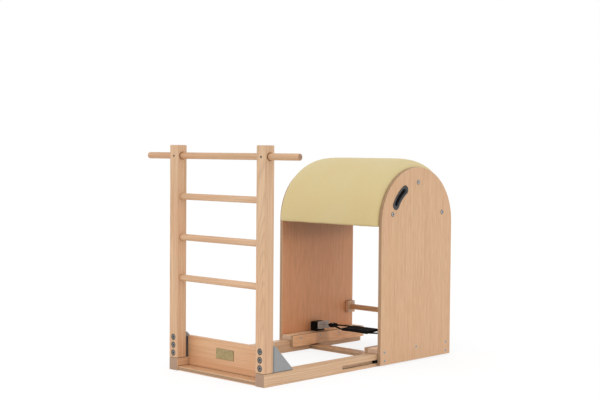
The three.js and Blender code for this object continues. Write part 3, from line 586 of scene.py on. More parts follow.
class BARREL_OT_stage(bpy.types.Operator):
    """Adds the camera, the pale floor, the soft lamps and the white surroundings"""

    bl_idname = "barrel.stage"
    bl_label = "Camera, floor and light"

    def execute(self, context):
        scene = context.scene
        camera = bpy.data.objects.new("camera", bpy.data.cameras.new("camera"))
        camera.data.lens, camera.data.sensor_width = CAMERA_LENS, SENSOR_WIDTH
        camera.data.clip_end = FLOOR_SIZE
        ahead = Vector((math.sin(CAMERA_HEADING) * math.cos(CAMERA_PITCH),
                        math.cos(CAMERA_HEADING) * math.cos(CAMERA_PITCH), math.sin(CAMERA_PITCH)))
        camera.location = CAMERA_PLACE
        camera.rotation_mode = "QUATERNION"
        camera.rotation_quaternion = ahead.to_track_quat("-Z", "Y") @ Quaternion((0, 0, 1), CAMERA_ROLL)
        scene.collection.objects.link(camera)
        scene.camera = camera
        for name, source, width, strength in LAMPS:
            lamp = bpy.data.lights.new(name, "SUN")
            lamp.angle, lamp.energy = math.radians(width), strength
            holder = bpy.data.objects.new(name, lamp)
            holder.rotation_euler = Vector(source).to_track_quat("Z", "Y").to_euler()
            scene.collection.objects.link(holder)
        half = FLOOR_SIZE / 2
        side = np.linspace(-half, half, FLOOR_STEPS)
        x, y = np.meshgrid(side, side, indexing="ij")
        grid = np.stack([x, y, np.zeros_like(x)], -1)
        mesh = quads(grid, (False, False))
        mesh.flip_normals()
        mesh.materials.append(white_floor())
        floor = bpy.data.objects.new("floor", mesh)
        scene.collection.objects.link(floor)
        surround(scene)
        scene.view_settings.view_transform = "Standard"
        return {"FINISHED"}


def seen_white(finish):
    """1 for rays that show the surroundings: from the camera, in gloss and through clear things."""
    path = finish.node("LightPath")
    outputs = path.socket.node.outputs
    names = ("Is Camera Ray", "Is Glossy Ray", "Is Transmission Ray")
    rays = [Value(finish, outputs[name]) for name in names]
    return rays[0].math("MAXIMUM", rays[1]).math("MAXIMUM", rays[2])


def white_floor():
    """A pale floor that keeps the shadow: a share of plain white over a diffuse surface."""
    finish = Finish("floor_white")
    x, y, _ = finish.place()
    grain = finish.noise(finish.vector(x * 3, y * 3), detail=3)
    diffuse = finish.node("BsdfDiffuse", inputs={
        "Color": finish.mix(grain, (0.86, 0.86, 0.86), (0.90, 0.90, 0.90))})
    glow = finish.node("Emission", inputs={"Color": (1, 1, 1, 1), "Strength": GLOW_STRENGTH})
    both = finish.node("MixShader", inputs={0: seen_white(finish) * FLOOR_GLOW, 1: diffuse, 2: glow})
    finish.node("OutputMaterial", inputs={"Surface": both})
    return finish.material


def surround(scene):
    """The world: white where it is seen, and an even pale light everywhere else."""
    world = bpy.data.worlds.new("studio")
    world.use_nodes = True
    scene.world = world
    finish = Finish.__new__(Finish)
    finish.tree = world.node_tree
    finish.tree.nodes.clear()
    strength = seen_white(finish) * (1 - AMBIENT) + AMBIENT
    light = finish.node("Background", inputs={"Color": (1, 1, 1, 1), "Strength": strength})
    finish.node("OutputWorld", inputs={"Surface": light})


# Pull strap

CORD_SPREAD = 0.0765  # between the two cords at the sleeve
CORD_END_SPREAD = 0.028  # between them at the tabs
CORD_SLANT = (0.092, 0.196)  # distances from the middle between which the front cord slants
CORD_HALF_LENGTH = 0.224
CORD_TURN = 0.014  # radius of the loop's corners
CORD_STEP = 0.008  # between the rings of a cord, at most
BRAID_PITCH, TWILL_PITCH = 0.0026, 0.0018
WEB_INSET = 0.0004  # how far webbing stays inside its half width
SLEEVE_WALL, SLEEVE_FLAT = 0.0062, 0.0054  # half the thickness over the cords and between them
SLEEVE_TIP = 0.06  # how steeply the strap's middle tips towards the ladder
SLEEVE_RISE = 0.0008  # how far that middle is raised
SLEEVE_END = 0.0025  # length of the rounding at its ends
SLEEVE_RINGS = 41
SLEEVE_SEAM = 0.029  # from its middle line to each seam
SLEEVE_HEM, SLEEVE_LAST = 0.008, 0.006  # least distance from its ends to the first and the last stitch
SLEEVE_STITCH, SLEEVE_STITCH_PITCH = 0.0036, 0.0052
TAB_RIM = 0.0052  # from a cord's middle line to the tab's side
TAB_WALL, TAB_FLAT = 0.0092, 0.0084
TAB_DEPTH = 0.015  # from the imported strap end's inner face outwards
TAB_REACH = 0.012  # from that face inwards, over the cords
TAB_END, TAB_WHOLE = 0.002, 0.003  # length of the rounding, and from where it is whole
TAB_RINGS = 9
TAB_HEM = 0.006  # from a tab's end to its stitches
TAB_STITCH = 0.0033
TAB_STITCHES = (-0.006, -0.0012, 0.0036)  # from the tab's middle line
HOOK_INSET = 0.003  # from the tab's side to the neck's
HOOK_NECK, HOOK_EDGE = 0.0025, 0.0008  # half the neck's thickness, and its rounded edges
HOOK_ROLL, HOOK_HALF_WIDTH = 0.005, 0.024  # radius and half the width of the roll behind the plate
HOOK_CORNER, ROLL_ROUND = 0.001, 0.0012
RIVET_DIAMETER, RIVET_HEIGHT = 0.0085, 0.0016
RIVET_PLACE = 0.0085  # from the tab's inner end
THREAD = 0.0005  # half its thickness


class BARREL_OT_strap(bpy.types.Operator):
    """Makes the pull cords, the hand's sleeve and the strap's tabs on their hooks"""

    bl_idname = "barrel.strap"
    bl_label = "Pull strap"

    def execute(self, context):
        colours, sizes = context.scene.barrel_colours, context.scene.barrel_sizes
        cord_finish = woven("cord_braid", tuple(colours.webbing), BRAID_PITCH, braid=True)
        web_finish = woven("webbing_twill", tuple(colours.webbing), TWILL_PITCH)
        centre = middle_of("hand_sleeve")
        self.cords(centre, sizes, cord_finish)
        self.sleeve(centre, web_finish)
        self.ends(centre, web_finish, metal("rivet_steel", (0.62, 0.62, 0.61), 0.3, 1.0))
        return {"FINISHED"}

    def cords(self, centre, sizes, finish):
        """One cord in a closed loop with round corners, whose front run slants in to the tabs."""
        half = CORD_SPREAD / 2
        near = half - CORD_END_SPREAD
        slant = [(near, CORD_SLANT[1]), (-half, CORD_SLANT[0])]
        run = [(half, CORD_HALF_LENGTH), (near, CORD_HALF_LENGTH), *slant]
        corners = run + [(x, -y) for x, y in reversed(run)]
        line = filleted(corners, CORD_TURN, 8, closed=True)
        runs = []
        for here, there in zip(line, np.roll(line, -1, 0)):
            count = max(1, round(np.linalg.norm(there - here) / CORD_STEP))
            runs.append(here + (there - here) * np.arange(count)[:, None] / count)
        flat = np.concatenate(runs)
        path = tipped(np.column_stack([flat + (centre.x, 0), np.full(len(flat), centre.z)]), centre)
        tube = swept(path, circle(sizes.cord_diameter / 2, 16), closed=True)
        form("pull_cords", "strap", "black_webbing", finish, [tube], ["pull_cord"])

    def sleeve(self, centre, finish):
        """The hand's flat sleeve, a little thinner in its middle, with its seams."""
        low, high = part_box("hand_sleeve")
        half, length = (high.x - low.x) / 2, high.y
        run = np.linspace(-length, length, SLEEVE_RINGS)[1:-1] * 0.96
        y, draw = soft_ended(-length, length, run, SLEEVE_END, 0.45)
        pinch = 1 - 0.05 * np.cos(math.pi * y / length)
        narrow = 0.985 + 0.015 * np.abs(y / length)
        section = web_section(half, SLEEVE_WALL, SLEEVE_FLAT)
        points, wraps = ribbon(section, centre, y, draw * pinch, narrow)
        body = tipped(points, centre), wraps
        sleeve = form("grip_sleeve", "strap", "black_webbing", finish, [body], ["hand_sleeve"])
        y = np.arange(SLEEVE_HEM - length, length - SLEEVE_LAST, SLEEVE_STITCH_PITCH)
        top = web_height(SLEEVE_SEAM, half, SLEEVE_WALL, SLEEVE_FLAT)
        places = tipped([(centre.x + way * SLEEVE_SEAM, v, centre.z + z * top)
                         for way in (-1, 1) for z in SIDES for v in y], centre)
        thread = moulded("thread", (0.035, 0.035, 0.037), 0.6)
        form("sleeve_stitches", "strap", "black_webbing", thread, stitches(places, "y", SLEEVE_STITCH))

    def ends(self, centre, finish, rivet_finish):
        """A thick tab on the cords' ends, and its steel hook: a neck through the plate, a roll behind it."""
        low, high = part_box("strap_end_left")
        half = CORD_END_SPREAD / 2 + TAB_RIM
        middle = Vector((centre.x + (CORD_SPREAD - CORD_END_SPREAD) / 2, 0, centre.z))
        inner, face = low.y - TAB_REACH, low.y + TAB_DEPTH
        run = np.linspace(inner + TAB_WHOLE, face - TAB_WHOLE, TAB_RINGS)
        y, draw = soft_ended(inner, face, run, TAB_END, 0.5)
        tab = ribbon(web_section(half, TAB_WALL, TAB_FLAT), middle, y, draw, 1 - 0.03 * (1 - draw))
        sides = middle.x - half + HOOK_INSET, centre.x + HOOK_HALF_WIDTH
        start, roll_y = face - TAB_HEM, high.y - HOOK_ROLL
        corners = [(sides[0], start), (sides[1], start), (sides[1], roll_y), (sides[0], roll_y)]
        outline = filleted(corners, HOOK_CORNER, 3, closed=True)
        neck = slab(outline, centre.z - HOOK_NECK, centre.z + HOOK_NECK, HOOK_EDGE)
        end = [(HOOK_ROLL, HOOK_HALF_WIDTH), (0, HOOK_HALF_WIDTH)]
        profile = filleted([(r, -x) for r, x in reversed(end)] + end, ROLL_ROUND, 4)
        roll = turned(profile, "x", (centre.x, roll_y, centre.z), 32)
        pair_of("strap_tab", "strap", "black_webbing", finish, [tab], "strap_end_{}")
        hook_finish = metal("hook_steel", TAUPE_STEEL, 0.46, 0.25, "y", 700, worn=0.04)
        pair_of("strap_hook", "strap", "zinc_steel", hook_finish, [neck, roll])
        dome = dome_profile(RIVET_DIAMETER / 2, RIVET_HEIGHT)
        cord = half - TAB_WALL
        seat = centre.z + web_height(cord * 0.99, half, TAB_WALL, TAB_FLAT) - RIVET_HEIGHT / 2
        rivets = [turned(dome, "z", (middle.x + side * cord, inner + RIVET_PLACE, seat), 24)
                  for side in SIDES]
        pair_of("strap_rivets", "strap", "steel", rivet_finish, rivets)
        rows = np.array([(middle.x + u, v, centre.z + web_height(u, half, TAB_WALL, TAB_FLAT))
                         for u in TAB_STITCHES for v in (face - TAB_HEM, inner + TAB_HEM)])
        thread = moulded("tab_thread", (0.05, 0.05, 0.052), 0.6)
        pair_of("tab_stitches", "strap", "black_webbing", thread, stitches(rows, "x", TAB_STITCH))


def soft_ended(low, high, run, end, least):
    """Places along a ribbon and its share of thickness there, which falls to least on a quarter circle
    over each end."""
    turn = np.linspace(0, math.pi / 2, 6)
    y = np.concatenate([low + end * (1 - np.sin(turn[::-1])), run, high - end * (1 - np.sin(turn))])
    draw = np.concatenate([np.cos(turn[::-1]), np.ones(len(run)), np.cos(turn)])
    return y, draw * (1 - least) + least


def web_height(x, half, wall, flat):
    """Half the thickness of webbing with a cord in each edge, at a place across it.

    It is the fourth root of the sum of two fourth powers: of the flat between the cords, and of a circle's
    height about each cord.
    """
    cord = half - wall
    ridge = np.sqrt(np.clip(wall**2 - (np.abs(x) - cord) ** 2, 0, None))
    return (ridge**4 + np.where(np.abs(x) < cord, flat, 0) ** 4) ** 0.25


def web_section(half, wall, flat):
    """The closed outline of such webbing, drawn from edge to edge over its top and back underneath."""
    u = np.linspace(-math.pi / 2, math.pi / 2, 61)
    x = (half - WEB_INSET) * np.sin(u)
    thick = web_height(x, half, wall, flat)
    thick[[0, -1]] = 0
    return np.concatenate([np.stack([x, thick], -1), np.stack([x, -thick], -1)[-2:0:-1]])


def tipped(points, centre):
    """The strap as it lies: its middle raised and tipped towards the ladder, its ends level.

    The share of both goes from 0 at the tabs to 1 at the sleeve on three squares less two cubes.
    """
    out = np.array(points, float)
    share = np.clip((CORD_SLANT[1] - np.abs(out[..., 1])) / (CORD_SLANT[1] - CORD_SLANT[0]), 0, 1)
    out[..., 2] += share * share * (3 - 2 * share) * (SLEEVE_RISE + SLEEVE_TIP * (out[..., 0] - centre.x))
    return out


def ribbon(section, centre, y, draw, narrow):
    """A section carried along Y about a centre, with its thickness times draw and its width times narrow."""
    points = np.zeros((len(y), len(section), 3))
    points[..., 0] = centre.x + section[None, :, 0] * narrow[:, None]
    points[..., 1] = y[:, None]
    points[..., 2] = centre.z + section[None, :, 1] * draw[:, None]
    return points, (False, True)


def stitches(places, axis, length):
    """Short threads with round ends: a small capsule along the axis at each place."""
    turn = np.linspace(0, math.pi, 7)
    rise = (length / 2 - THREAD) * np.sign(-np.cos(turn)) - THREAD * np.cos(turn)
    one, wraps = turned(np.stack([THREAD * np.sin(turn), rise], -1), axis, (0, 0, 0), 6)
    return [(one + place, wraps) for place in places]


def dome_profile(radius, height, skirt=0.25):
    """A low domed head from its rim to its top: a short wall and then a quarter ellipse."""
    turn = np.linspace(0, math.pi / 2, 7)
    wall = height * skirt
    arc = np.stack([radius * np.cos(turn), wall + (height - wall) * np.sin(turn)], -1)
    return np.concatenate([[(0, 0), (radius, 0)], arc])


# Pad

PAD_ROWS, PAD_COLUMNS, PAD_SIDE_STEPS = 132, 80, 4
PAD_HEM, PAD_HEM_PLACE, PAD_HEM_WIDTH = 0.0016, 0.006, 0.0028  # its height, distance from the end and width
PAD_SIDE_SHARE = (0.10, 0.14)  # of the crown left at the sides: over the top, and what the ends add
PAD_CORNER = 0.0040  # radius of the upper edges along the sides
PAD_WAVES = ((0.0004, 41, 1.1), (0.0002, 97, 0))  # height, rate and start of each wave of the ends
PAD_WAVE_REACH = 0.02  # how far from the ends they die out
PAD_FRAMES = 20
TACK_DEPTH, TACK_END, TACK_SIDE = 0.0015, 0.012, 0.0008  # held: near the shell, the ends and the sides


class BARREL_OT_pad(bpy.types.Operator):
    """Makes the padded cover over the barrel, swollen by a short cloth simulation"""

    bl_idname = "barrel.pad"
    bl_label = "Barrel pad"

    def execute(self, context):
        sizes = context.scene.barrel_sizes
        finish = leatherette("leatherette_cover", tuple(context.scene.barrel_colours.leatherette))
        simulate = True
        points = self.grid(sizes, sizes.pad_swell * 0.6 if simulate else 0.0)
        cover = points, (False, True)
        pad = form("pad_cover", "barrel", "upholstery", finish, [cover], ["barrel_pad"], sharp=70)
        if simulate:
            self.swell(context.scene, pad, sizes)
        finer = pad.modifiers.new("finer", "SUBSURF")
        finer.levels = finer.render_levels = 1
        return {"FINISHED"}

    def grid(self, sizes, shrink):
        """The cover as rings round its section, one for each place along the arch.

        With s and t from -1 to 1 along and across, the outer radius is the arch's plus the crown times
        1 - |s|^p times 1 - (1 - e) |t|^q. Both e, the share that stays at the sides, and q are larger at
        the ends than over the top. A hem stands up beside each end as a narrow bell, and over the last
        millimetres before an end or a side the radius comes in on a quarter circle. Each ring goes over the
        top, down one side, back under the foam and up the other side. The last rings close on a line
        between the cover and the shell.
        """
        swing = math.asin(PAD_OVERHANG / ARCH_RADIUS)
        length = (math.pi + 2 * swing) * ARCH_RADIUS
        along = np.sin(np.linspace(-math.pi / 2, math.pi / 2, PAD_ROWS))
        along = np.concatenate([[-1, -1], along, [1, 1]])
        place = (along + 1) / 2 * length
        close = np.concatenate([[1.0, 0.5], np.zeros(PAD_ROWS), [0.5, 1.0]])
        across = np.sin(np.linspace(-math.pi / 2, math.pi / 2, PAD_COLUMNS)) * PAD_HALF
        end_distance = np.minimum(place, length - place)
        edge = sizes.pad_round
        inset = edge - np.sqrt(edge**2 - np.clip(edge - end_distance, 0, None) ** 2)
        fade = 1 - np.abs(along) ** sizes.pad_length_flatness
        hem = PAD_HEM * np.exp(-((end_distance - PAD_HEM_PLACE) / PAD_HEM_WIDTH) ** 2)
        flatness = sizes.pad_flatness + sizes.pad_end_flatness * np.abs(along) ** 1.5
        stays = PAD_SIDE_SHARE[0] + PAD_SIDE_SHARE[1] * np.abs(along) ** 2
        crown = 1 - (1 - stays[:, None]) * np.abs(across / PAD_HALF)[None] ** flatness[:, None]
        side_distance = PAD_HALF - np.abs(across)
        corner = PAD_CORNER - np.sqrt(PAD_CORNER**2 - np.clip(PAD_CORNER - side_distance, 0, None) ** 2)
        outer = ARCH_RADIUS + (PAD_CROWN - shrink) * fade[:, None] * crown + hem[:, None] * crown
        outer = outer - inset[:, None] - corner
        inner = np.full_like(outer, PAD_INNER)
        middle = (outer + inner) / 2
        outer = outer + (middle - outer) * close[:, None]
        inner = inner + (middle - inner) * close[:, None]
        share = np.linspace(0, 1, PAD_SIDE_STEPS + 2)[1:-1]
        right = outer[:, -1:] + (inner[:, -1:] - outer[:, -1:]) * share
        left = inner[:, :1] + (outer[:, :1] - inner[:, :1]) * share
        reach = np.concatenate([outer, right, inner[:, ::-1], left], 1)
        y = np.concatenate([across, np.full(PAD_SIDE_STEPS, PAD_HALF), across[::-1],
                            np.full(PAD_SIDE_STEPS, -PAD_HALF)])
        full_y = np.broadcast_to(y, reach.shape)
        wave = sum(height * np.sin(full_y * rate + start) for height, rate, start in PAD_WAVES)
        wave = wave * np.exp(-end_distance / PAD_WAVE_REACH)[:, None]
        # from the ladder's side over the top
        angle = math.pi + swing - (place[:, None] + wave) / ARCH_RADIUS
        points = np.stack([ARCH_X + reach * np.cos(angle), full_y, ARCH_Z + reach * np.sin(angle)], -1)
        return points

    def swell(self, scene, pad, sizes):
        """Lets the cover swell as cloth under pressure, held where it is tacked down, up to the cap."""
        mesh = pad.data
        count = len(mesh.vertices)
        rest = np.empty(count * 3)
        mesh.vertices.foreach_get("co", rest)
        rest = rest.reshape(-1, 3)
        reach = np.hypot(rest[:, 0] - ARCH_X, rest[:, 2] - ARCH_Z)
        held = reach < ARCH_RADIUS + TACK_DEPTH
        held |= rest[:, 2] < PAD_LOW.z + TACK_END
        held |= np.abs(rest[:, 1]) > PAD_HALF - TACK_SIDE
        group = pad.vertex_groups.new(name="tacked")
        group.add(np.flatnonzero(held).tolist(), 1.0, "REPLACE")
        cloth = pad.modifiers.new("swell", "CLOTH")
        cloth.point_cache.frame_start, cloth.point_cache.frame_end = 1, PAD_FRAMES
        settings = cloth.settings
        settings.quality = 6
        settings.mass = 0.35
        settings.tension_stiffness = settings.compression_stiffness = 22
        settings.shear_stiffness = 9
        settings.bending_stiffness = 1.2
        settings.use_pressure = True
        settings.uniform_pressure_force = 4
        settings.effector_weights.gravity = 0
        settings.vertex_group_mass = "tacked"
        cloth.collision_settings.use_collision = False
        for number in range(1, PAD_FRAMES + 1):
            scene.frame_set(number)
        evaluated = pad.evaluated_get(bpy.context.evaluated_depsgraph_get())
        moved = np.empty(count * 3)
        evaluated.data.vertices.foreach_get("co", moved)
        step = moved.reshape(-1, 3) - rest
        size = np.linalg.norm(step, axis=1, keepdims=True)
        step *= np.minimum(1, sizes.pad_swell / np.maximum(size, 1e-9))
        pad.modifiers.remove(cloth)
        pad.vertex_groups.remove(group)
        mesh.vertices.foreach_set("co", (rest + step).ravel())
        mesh.update()
        scene.frame_set(1)


# Timber

# node, body, height of its pith over its middle line
DOWELS = (("top_bar", "base", 0.031), ("rung_upper", "base", -0.044), ("rung_middle", "base", 0.052),
          ("rung_lower", "base", -0.036), ("lower_bar", "barrel", 0.04))
DOWEL_PITH = 0.02  # how far the pith lies towards the front
DOWEL_RING = 0.0045  # width of its year rings
DOWEL_ROUND = 0.002  # beside its chamfers


class BARREL_OT_dowels(bpy.types.Operator):
    """Makes the round top bar, the rungs and the low rear bar"""

    bl_idname = "barrel.dowels"
    bl_label = "Dowels"

    def execute(self, context):
        colours = context.scene.barrel_colours
        chamfer = context.scene.barrel_sizes.dowel_chamfer
        for number, (node, body, lift) in enumerate(DOWELS):
            low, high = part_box(node)
            centre = (low + high) / 2
            radius, half = (high.z - low.z) / 2, high.y
            end = [(radius, half - chamfer), (radius - chamfer, half), (0, half)]
            profile = filleted([(r, -y) for r, y in reversed(end)] + end, DOWEL_ROUND, 4)
            bar = turned(profile, "y", (centre.x, 0, centre.z), 56)
            pith = centre.z + lift, centre.x - DOWEL_PITH
            colour = colours.beech if node.startswith("rung") else colours.dark_beech
            finish = timber(f"beech_{node}", tuple(colour), "y", pith, (-half, half), 3.1 * number,
                            DOWEL_RING, boxes=neighbours(node))
            form(f"{node}_dowel", body, "beech", finish, [bar], [node])
        return {"FINISHED"}


# node, direction of its grain, place of its pith across the grain from the board's middle
SOLID_BOARDS = (
    ("rail_left", "x", (0.07, -0.05)), ("rail_right", "x", (-0.09, -0.06)),
    ("post_left", "z", (-0.11, 0.05)), ("post_right", "z", (-0.13, -0.02)),
    ("kick_board", "y", (-0.15, 0.02)),
    ("runner_left", "x", (0.06, -0.08)), ("runner_right", "x", (-0.06, -0.07)),
    ("bar_block_left", "z", (0.05, 0.06)), ("bar_block_right", "z", (-0.05, 0.06)),
)
# node, direction through its plies, direction of its face grain, number of plies
PLY_BOARDS = (
    ("side_panel_left", "y", "z", 13), ("side_panel_right", "y", "z", 13), ("foot_board", "z", "y", 7),
    ("tie_board", "z", "y", 9), ("cheek_left", "y", "x", 9), ("cheek_right", "y", "x", 9),
    ("batten_front", "x", "y", 9), ("batten_top", "x", "y", 9), ("batten_rear", "x", "y", 9),
    ("barrel_shell", "z", "y", 9),
)
GRAIN_ACROSS = {"x": ("y", "z"), "y": ("z", "x"), "z": ("x", "y")}
# width of the year rings, their depth and the contrast of the figure
BOARD_FIGURE = (0.0055, 0.13, 1.0)
KICK_FIGURE = (0.008, 0.06, 0.6)
# the plain plywood under the pad, darkened by SHADE_OF_HOLLOW as painted shade of the hollow
SHADED = ("barrel_shell", "batten_front", "batten_top", "batten_rear")
SHADE_OF_HOLLOW = 0.5
JOINERY = (*(board[0] for board in SOLID_BOARDS + PLY_BOARDS), "barrel_pad", "name_plate",
           *(f"{name}_{side}" for name in ("gusset", "latch_housing", "guide_front", "guide_rear")
             for side in ("left", "right")))
# width and depth of the shades under the pad, at joints, in the rails' grooves and round the latches
UNDER_PAD = (0.13, 0.26)
JOINT_SHADE = (0.0034, 0.42)
GROOVE_SHADE = (0.0007, 0.58)
LATCH_SHADE = (0.045, 0.28)
JOINT_GAP = 0.0040  # pieces closer than this have a joint
# the groove in each rail's outer face: its front end, its height above the floor and its depth
GROOVE_START = -0.1564
GROOVE_LOW, GROOVE_HIGH = 0.0167, 0.0313
GROOVE_DEPTH = 0.012
GROOVE_SINK, GROOVE_LIP = 0.0002, 0.0006  # how far its shade goes into the floor and stays off the face
# how far a latch's shade reaches before, behind, beside and below its housing's lower front corner
LATCH_FRONT, LATCH_REAR, LATCH_ASIDE, LATCH_BELOW = 0.010, 0.025, 0.06, 0.05
RAIL_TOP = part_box("rail_left")[1].z
KICK_EAR = 0.0088  # how far the kick board's ends reach out over the rails
KICK_EDGE = 0.0012  # radius of its rounded edges


def neighbours(node, width=JOINT_SHADE[0], depth=JOINT_SHADE[1]):
    """The boxes of the pieces that come close to a node's own box, for the shade at its joints."""
    low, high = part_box(node)
    boxes = []
    for other in JOINERY:
        near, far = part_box(other)
        if other.startswith("post"):
            near.z = RAIL_TOP
        close = all(near[k] < high[k] + JOINT_GAP and far[k] > low[k] - JOINT_GAP for k in range(3))
        if close and other != node:
            boxes.append((near, far, width, depth))
    return boxes


def latch_shade(node):
    """The soft shade round a latch, on the runner and the cheek below it."""
    if not node.startswith(("runner", "cheek")):
        return []
    low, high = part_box("latch_housing_" + node.split("_")[1])
    near = (low.x - LATCH_FRONT, low.y - LATCH_ASIDE, low.z - LATCH_BELOW)
    far = (low.x + LATCH_REAR, high.y + LATCH_ASIDE, high.z)
    return [(near, far, *LATCH_SHADE)]


def groove_shade(node):
    """The shade in a rail's groove, deeper than at its joints."""
    if not node.startswith("rail"):
        return []
    low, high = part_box(node)
    floor = high.y - GROOVE_DEPTH if high.y > 0 else low.y
    near = (GROOVE_START, floor - GROOVE_SINK, GROOVE_LOW)
    far = (high.x, floor + GROOVE_DEPTH - GROOVE_LIP, GROOVE_HIGH)
    return [(near, far, *GROOVE_SHADE)]


class BARREL_OT_timber(bpy.types.Operator):
    """Gives every board its own cut of beech or plywood"""

    bl_idname = "barrel.timber"
    bl_label = "Timber"

    def execute(self, context):
        colours = context.scene.barrel_colours
        for number, (node, along, shift) in enumerate(SOLID_BOARDS):
            low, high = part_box(node)
            centre = (low + high) / 2
            colour = {"kick_board": colours.kick_beech_tint_and_light, "runner_left": colours.runner_beech_painted_light,
                      "runner_right": colours.runner_beech_painted_light}.get(node, colours.beech)
            pith = [getattr(centre, axis) + move for axis, move in zip(GRAIN_ACROSS[along], shift)]
            kick = node == "kick_board"
            reach = KICK_EAR if kick else 0
            ends = (getattr(low, along) - reach, getattr(high, along) + reach)
            boxes = neighbours(node) + groove_shade(node) + latch_shade(node)
            finish = timber(f"beech_{node}", tuple(colour), along, pith, ends, 1.7 * number + 0.4,
                            *(KICK_FIGURE if kick else BOARD_FIGURE), boxes=boxes)
            if kick:
                form("kick_board_eared", "base", "beech", finish, [self.eared(low, high)], [node])
            else:
                dress(finish, node)
        for number, (node, across, grain, plies) in enumerate(PLY_BOARDS):
            low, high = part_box(node)
            span = (getattr(low, across), getattr(high, across))
            share = SHADE_OF_HOLLOW if node in SHADED else 1.0
            boxes = neighbours(node) + latch_shade(node)
            under = [(PAD_LOW, PAD_HIGH, *UNDER_PAD)] if node.startswith("side_panel") else []
            inner = colours.cheek_veneer_painted_light if node.startswith("cheek") else colours.inner_veneer_painted_light
            outer, inner = (tuple(c * share for c in face) for face in (colours.veneer, inner))
            finish = plywood(f"plywood_{node}", outer, inner, across, span, grain, 2.3 * number, plies,
                             boxes, under)
            dress(finish, node)
        return {"FINISHED"}

    def eared(self, low, high):
        """The kick board: its upright outline, whose upper ends stand on the rails, through its thickness."""
        foot = RAIL_TOP + KICK_EDGE / 3
        half = [(high.y, low.z), (high.y, foot), (high.y + KICK_EAR, foot), (high.y + KICK_EAR, high.z)]
        corners = half + [(-y, z) for y, z in reversed(half)]
        return slab(filleted(corners, KICK_EDGE, 3, closed=True), low.x, high.x, KICK_EDGE, axis="x")


# Grips

GRIP_REACH = 0.184  # from the arch's middle to the slot's middle line
GRIP_ANGLE = math.radians(137)
GRIP_LENGTH, GRIP_WIDTH = 0.138, 0.042
SLOT_LENGTH, SLOT_WIDTH = 0.106, 0.025
DISH_LENGTH, DISH_WIDTH = 0.112, 0.030
DISH_RIM_SHARE = 0.7  # of the dish's depth that its rim has
GRIP_SEAT = 0.0003  # between the panel and the flange
GRIP_RIM = 0.0010  # height of the flange's upright edge
GRIP_ROUND = ((0.0008, 0.0006), (0.0024, 0), (0.005, 0.0001))  # how far in and below the top each ring lies
LINER_GAP, BORE_GAP = 0.0006, 0.0046  # how much less than the slot the liner and its bore are
BORE_ROUND = ((0.0016, 0.0005), (0, 0.0022))  # how much wider than the bore and below the dish
BORE_FLARE, BORE_FLARE_HEIGHT = 0.0006, 0.0012
GRIP_SCREW_SHIFT, GRIP_SCREW_SINK = 0.0595, 0.0007
GRIP_SCREW = (0.0045, 0.0016, 0.0014)  # radius, height, socket


def on_arch(angle):
    return ARCH_X + GRIP_REACH * math.cos(angle), ARCH_Z + GRIP_REACH * math.sin(angle)


def slot_ring(length, width, steps=18):
    """A slot that follows the arch, anticlockwise: outer arc, half circle, inner arc, half circle."""
    half = width / 2
    swing = (length / 2 - half) / GRIP_REACH
    t = np.linspace(0, 1, steps, endpoint=False)
    low, high = GRIP_ANGLE - swing, GRIP_ANGLE + swing

    def arc(cx, cz, radius, start, end):
        angle = start + (end - start) * t
        return np.stack([cx + radius * np.cos(angle), cz + radius * np.sin(angle)], -1)

    return np.concatenate([
        arc(ARCH_X, ARCH_Z, GRIP_REACH + half, low, high),
        arc(*on_arch(high), half, high, high + math.pi),
        arc(ARCH_X, ARCH_Z, GRIP_REACH - half, high, low),
        arc(*on_arch(low), half, low + math.pi, low + TAU),
    ])


class BARREL_OT_grips(bpy.types.Operator):
    """Makes the dished plastic grips in the side panels, with their screws"""

    bl_idname = "barrel.grips"
    bl_label = "Hand grips"

    def execute(self, context):
        finish = moulded("grip_plastic", tuple(c * 2.0 for c in context.scene.barrel_colours.plastic))
        low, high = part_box("hand_grip_left")
        face, top, back = PANEL_OUTER + GRIP_SEAT, high.y, low.y
        dish = context.scene.barrel_sizes.grip_dish
        liner = (SLOT_LENGTH - LINER_GAP, SLOT_WIDTH - LINER_GAP)
        bore = (SLOT_LENGTH - BORE_GAP, SLOT_WIDTH - BORE_GAP)
        # length, width and height of each ring of the grip, from the flange's outer edge inwards and back
        rings = [
            (GRIP_LENGTH, GRIP_WIDTH, face),
            (GRIP_LENGTH, GRIP_WIDTH, face + GRIP_RIM),
            *((GRIP_LENGTH - inset, GRIP_WIDTH - inset, top - drop) for inset, drop in GRIP_ROUND),
            (DISH_LENGTH, DISH_WIDTH, top - dish * DISH_RIM_SHARE),
            (SLOT_LENGTH, SLOT_WIDTH, top - dish),
            *((bore[0] + wider, bore[1] + wider, top - dish - drop) for wider, drop in BORE_ROUND),
            (*bore, back + BORE_FLARE_HEIGHT),
            (bore[0] + BORE_FLARE, bore[1] + BORE_FLARE, back),
            (*liner, back),
            (*liner, face),
        ]
        points = np.stack([np.insert(slot_ring(length, width), 1, y, axis=1) for length, width, y in rings])
        bezel = points, (True, True)
        pair_of("hand_grip_bezel", "barrel", "black_plastic", finish, [bezel], "hand_grip_{}", sharp=50)
        steel = moulded("grip_screw", (0.06, 0.06, 0.065), 0.3)
        screws = []
        for shift in (-GRIP_SCREW_SHIFT, GRIP_SCREW_SHIFT):
            x, z = on_arch(GRIP_ANGLE + shift / GRIP_REACH)
            screws.append(socket_head(*GRIP_SCREW, "y", (x, top - GRIP_SCREW_SINK, z)))
        pair_of("grip_screws", "barrel", "black_plastic", steel, screws)
        return {"FINISHED"}


# Bolts and screws

SOCKET_SIDES = 36


def socket_floor_height(height, socket):
    return height - min(height * 0.8, socket)


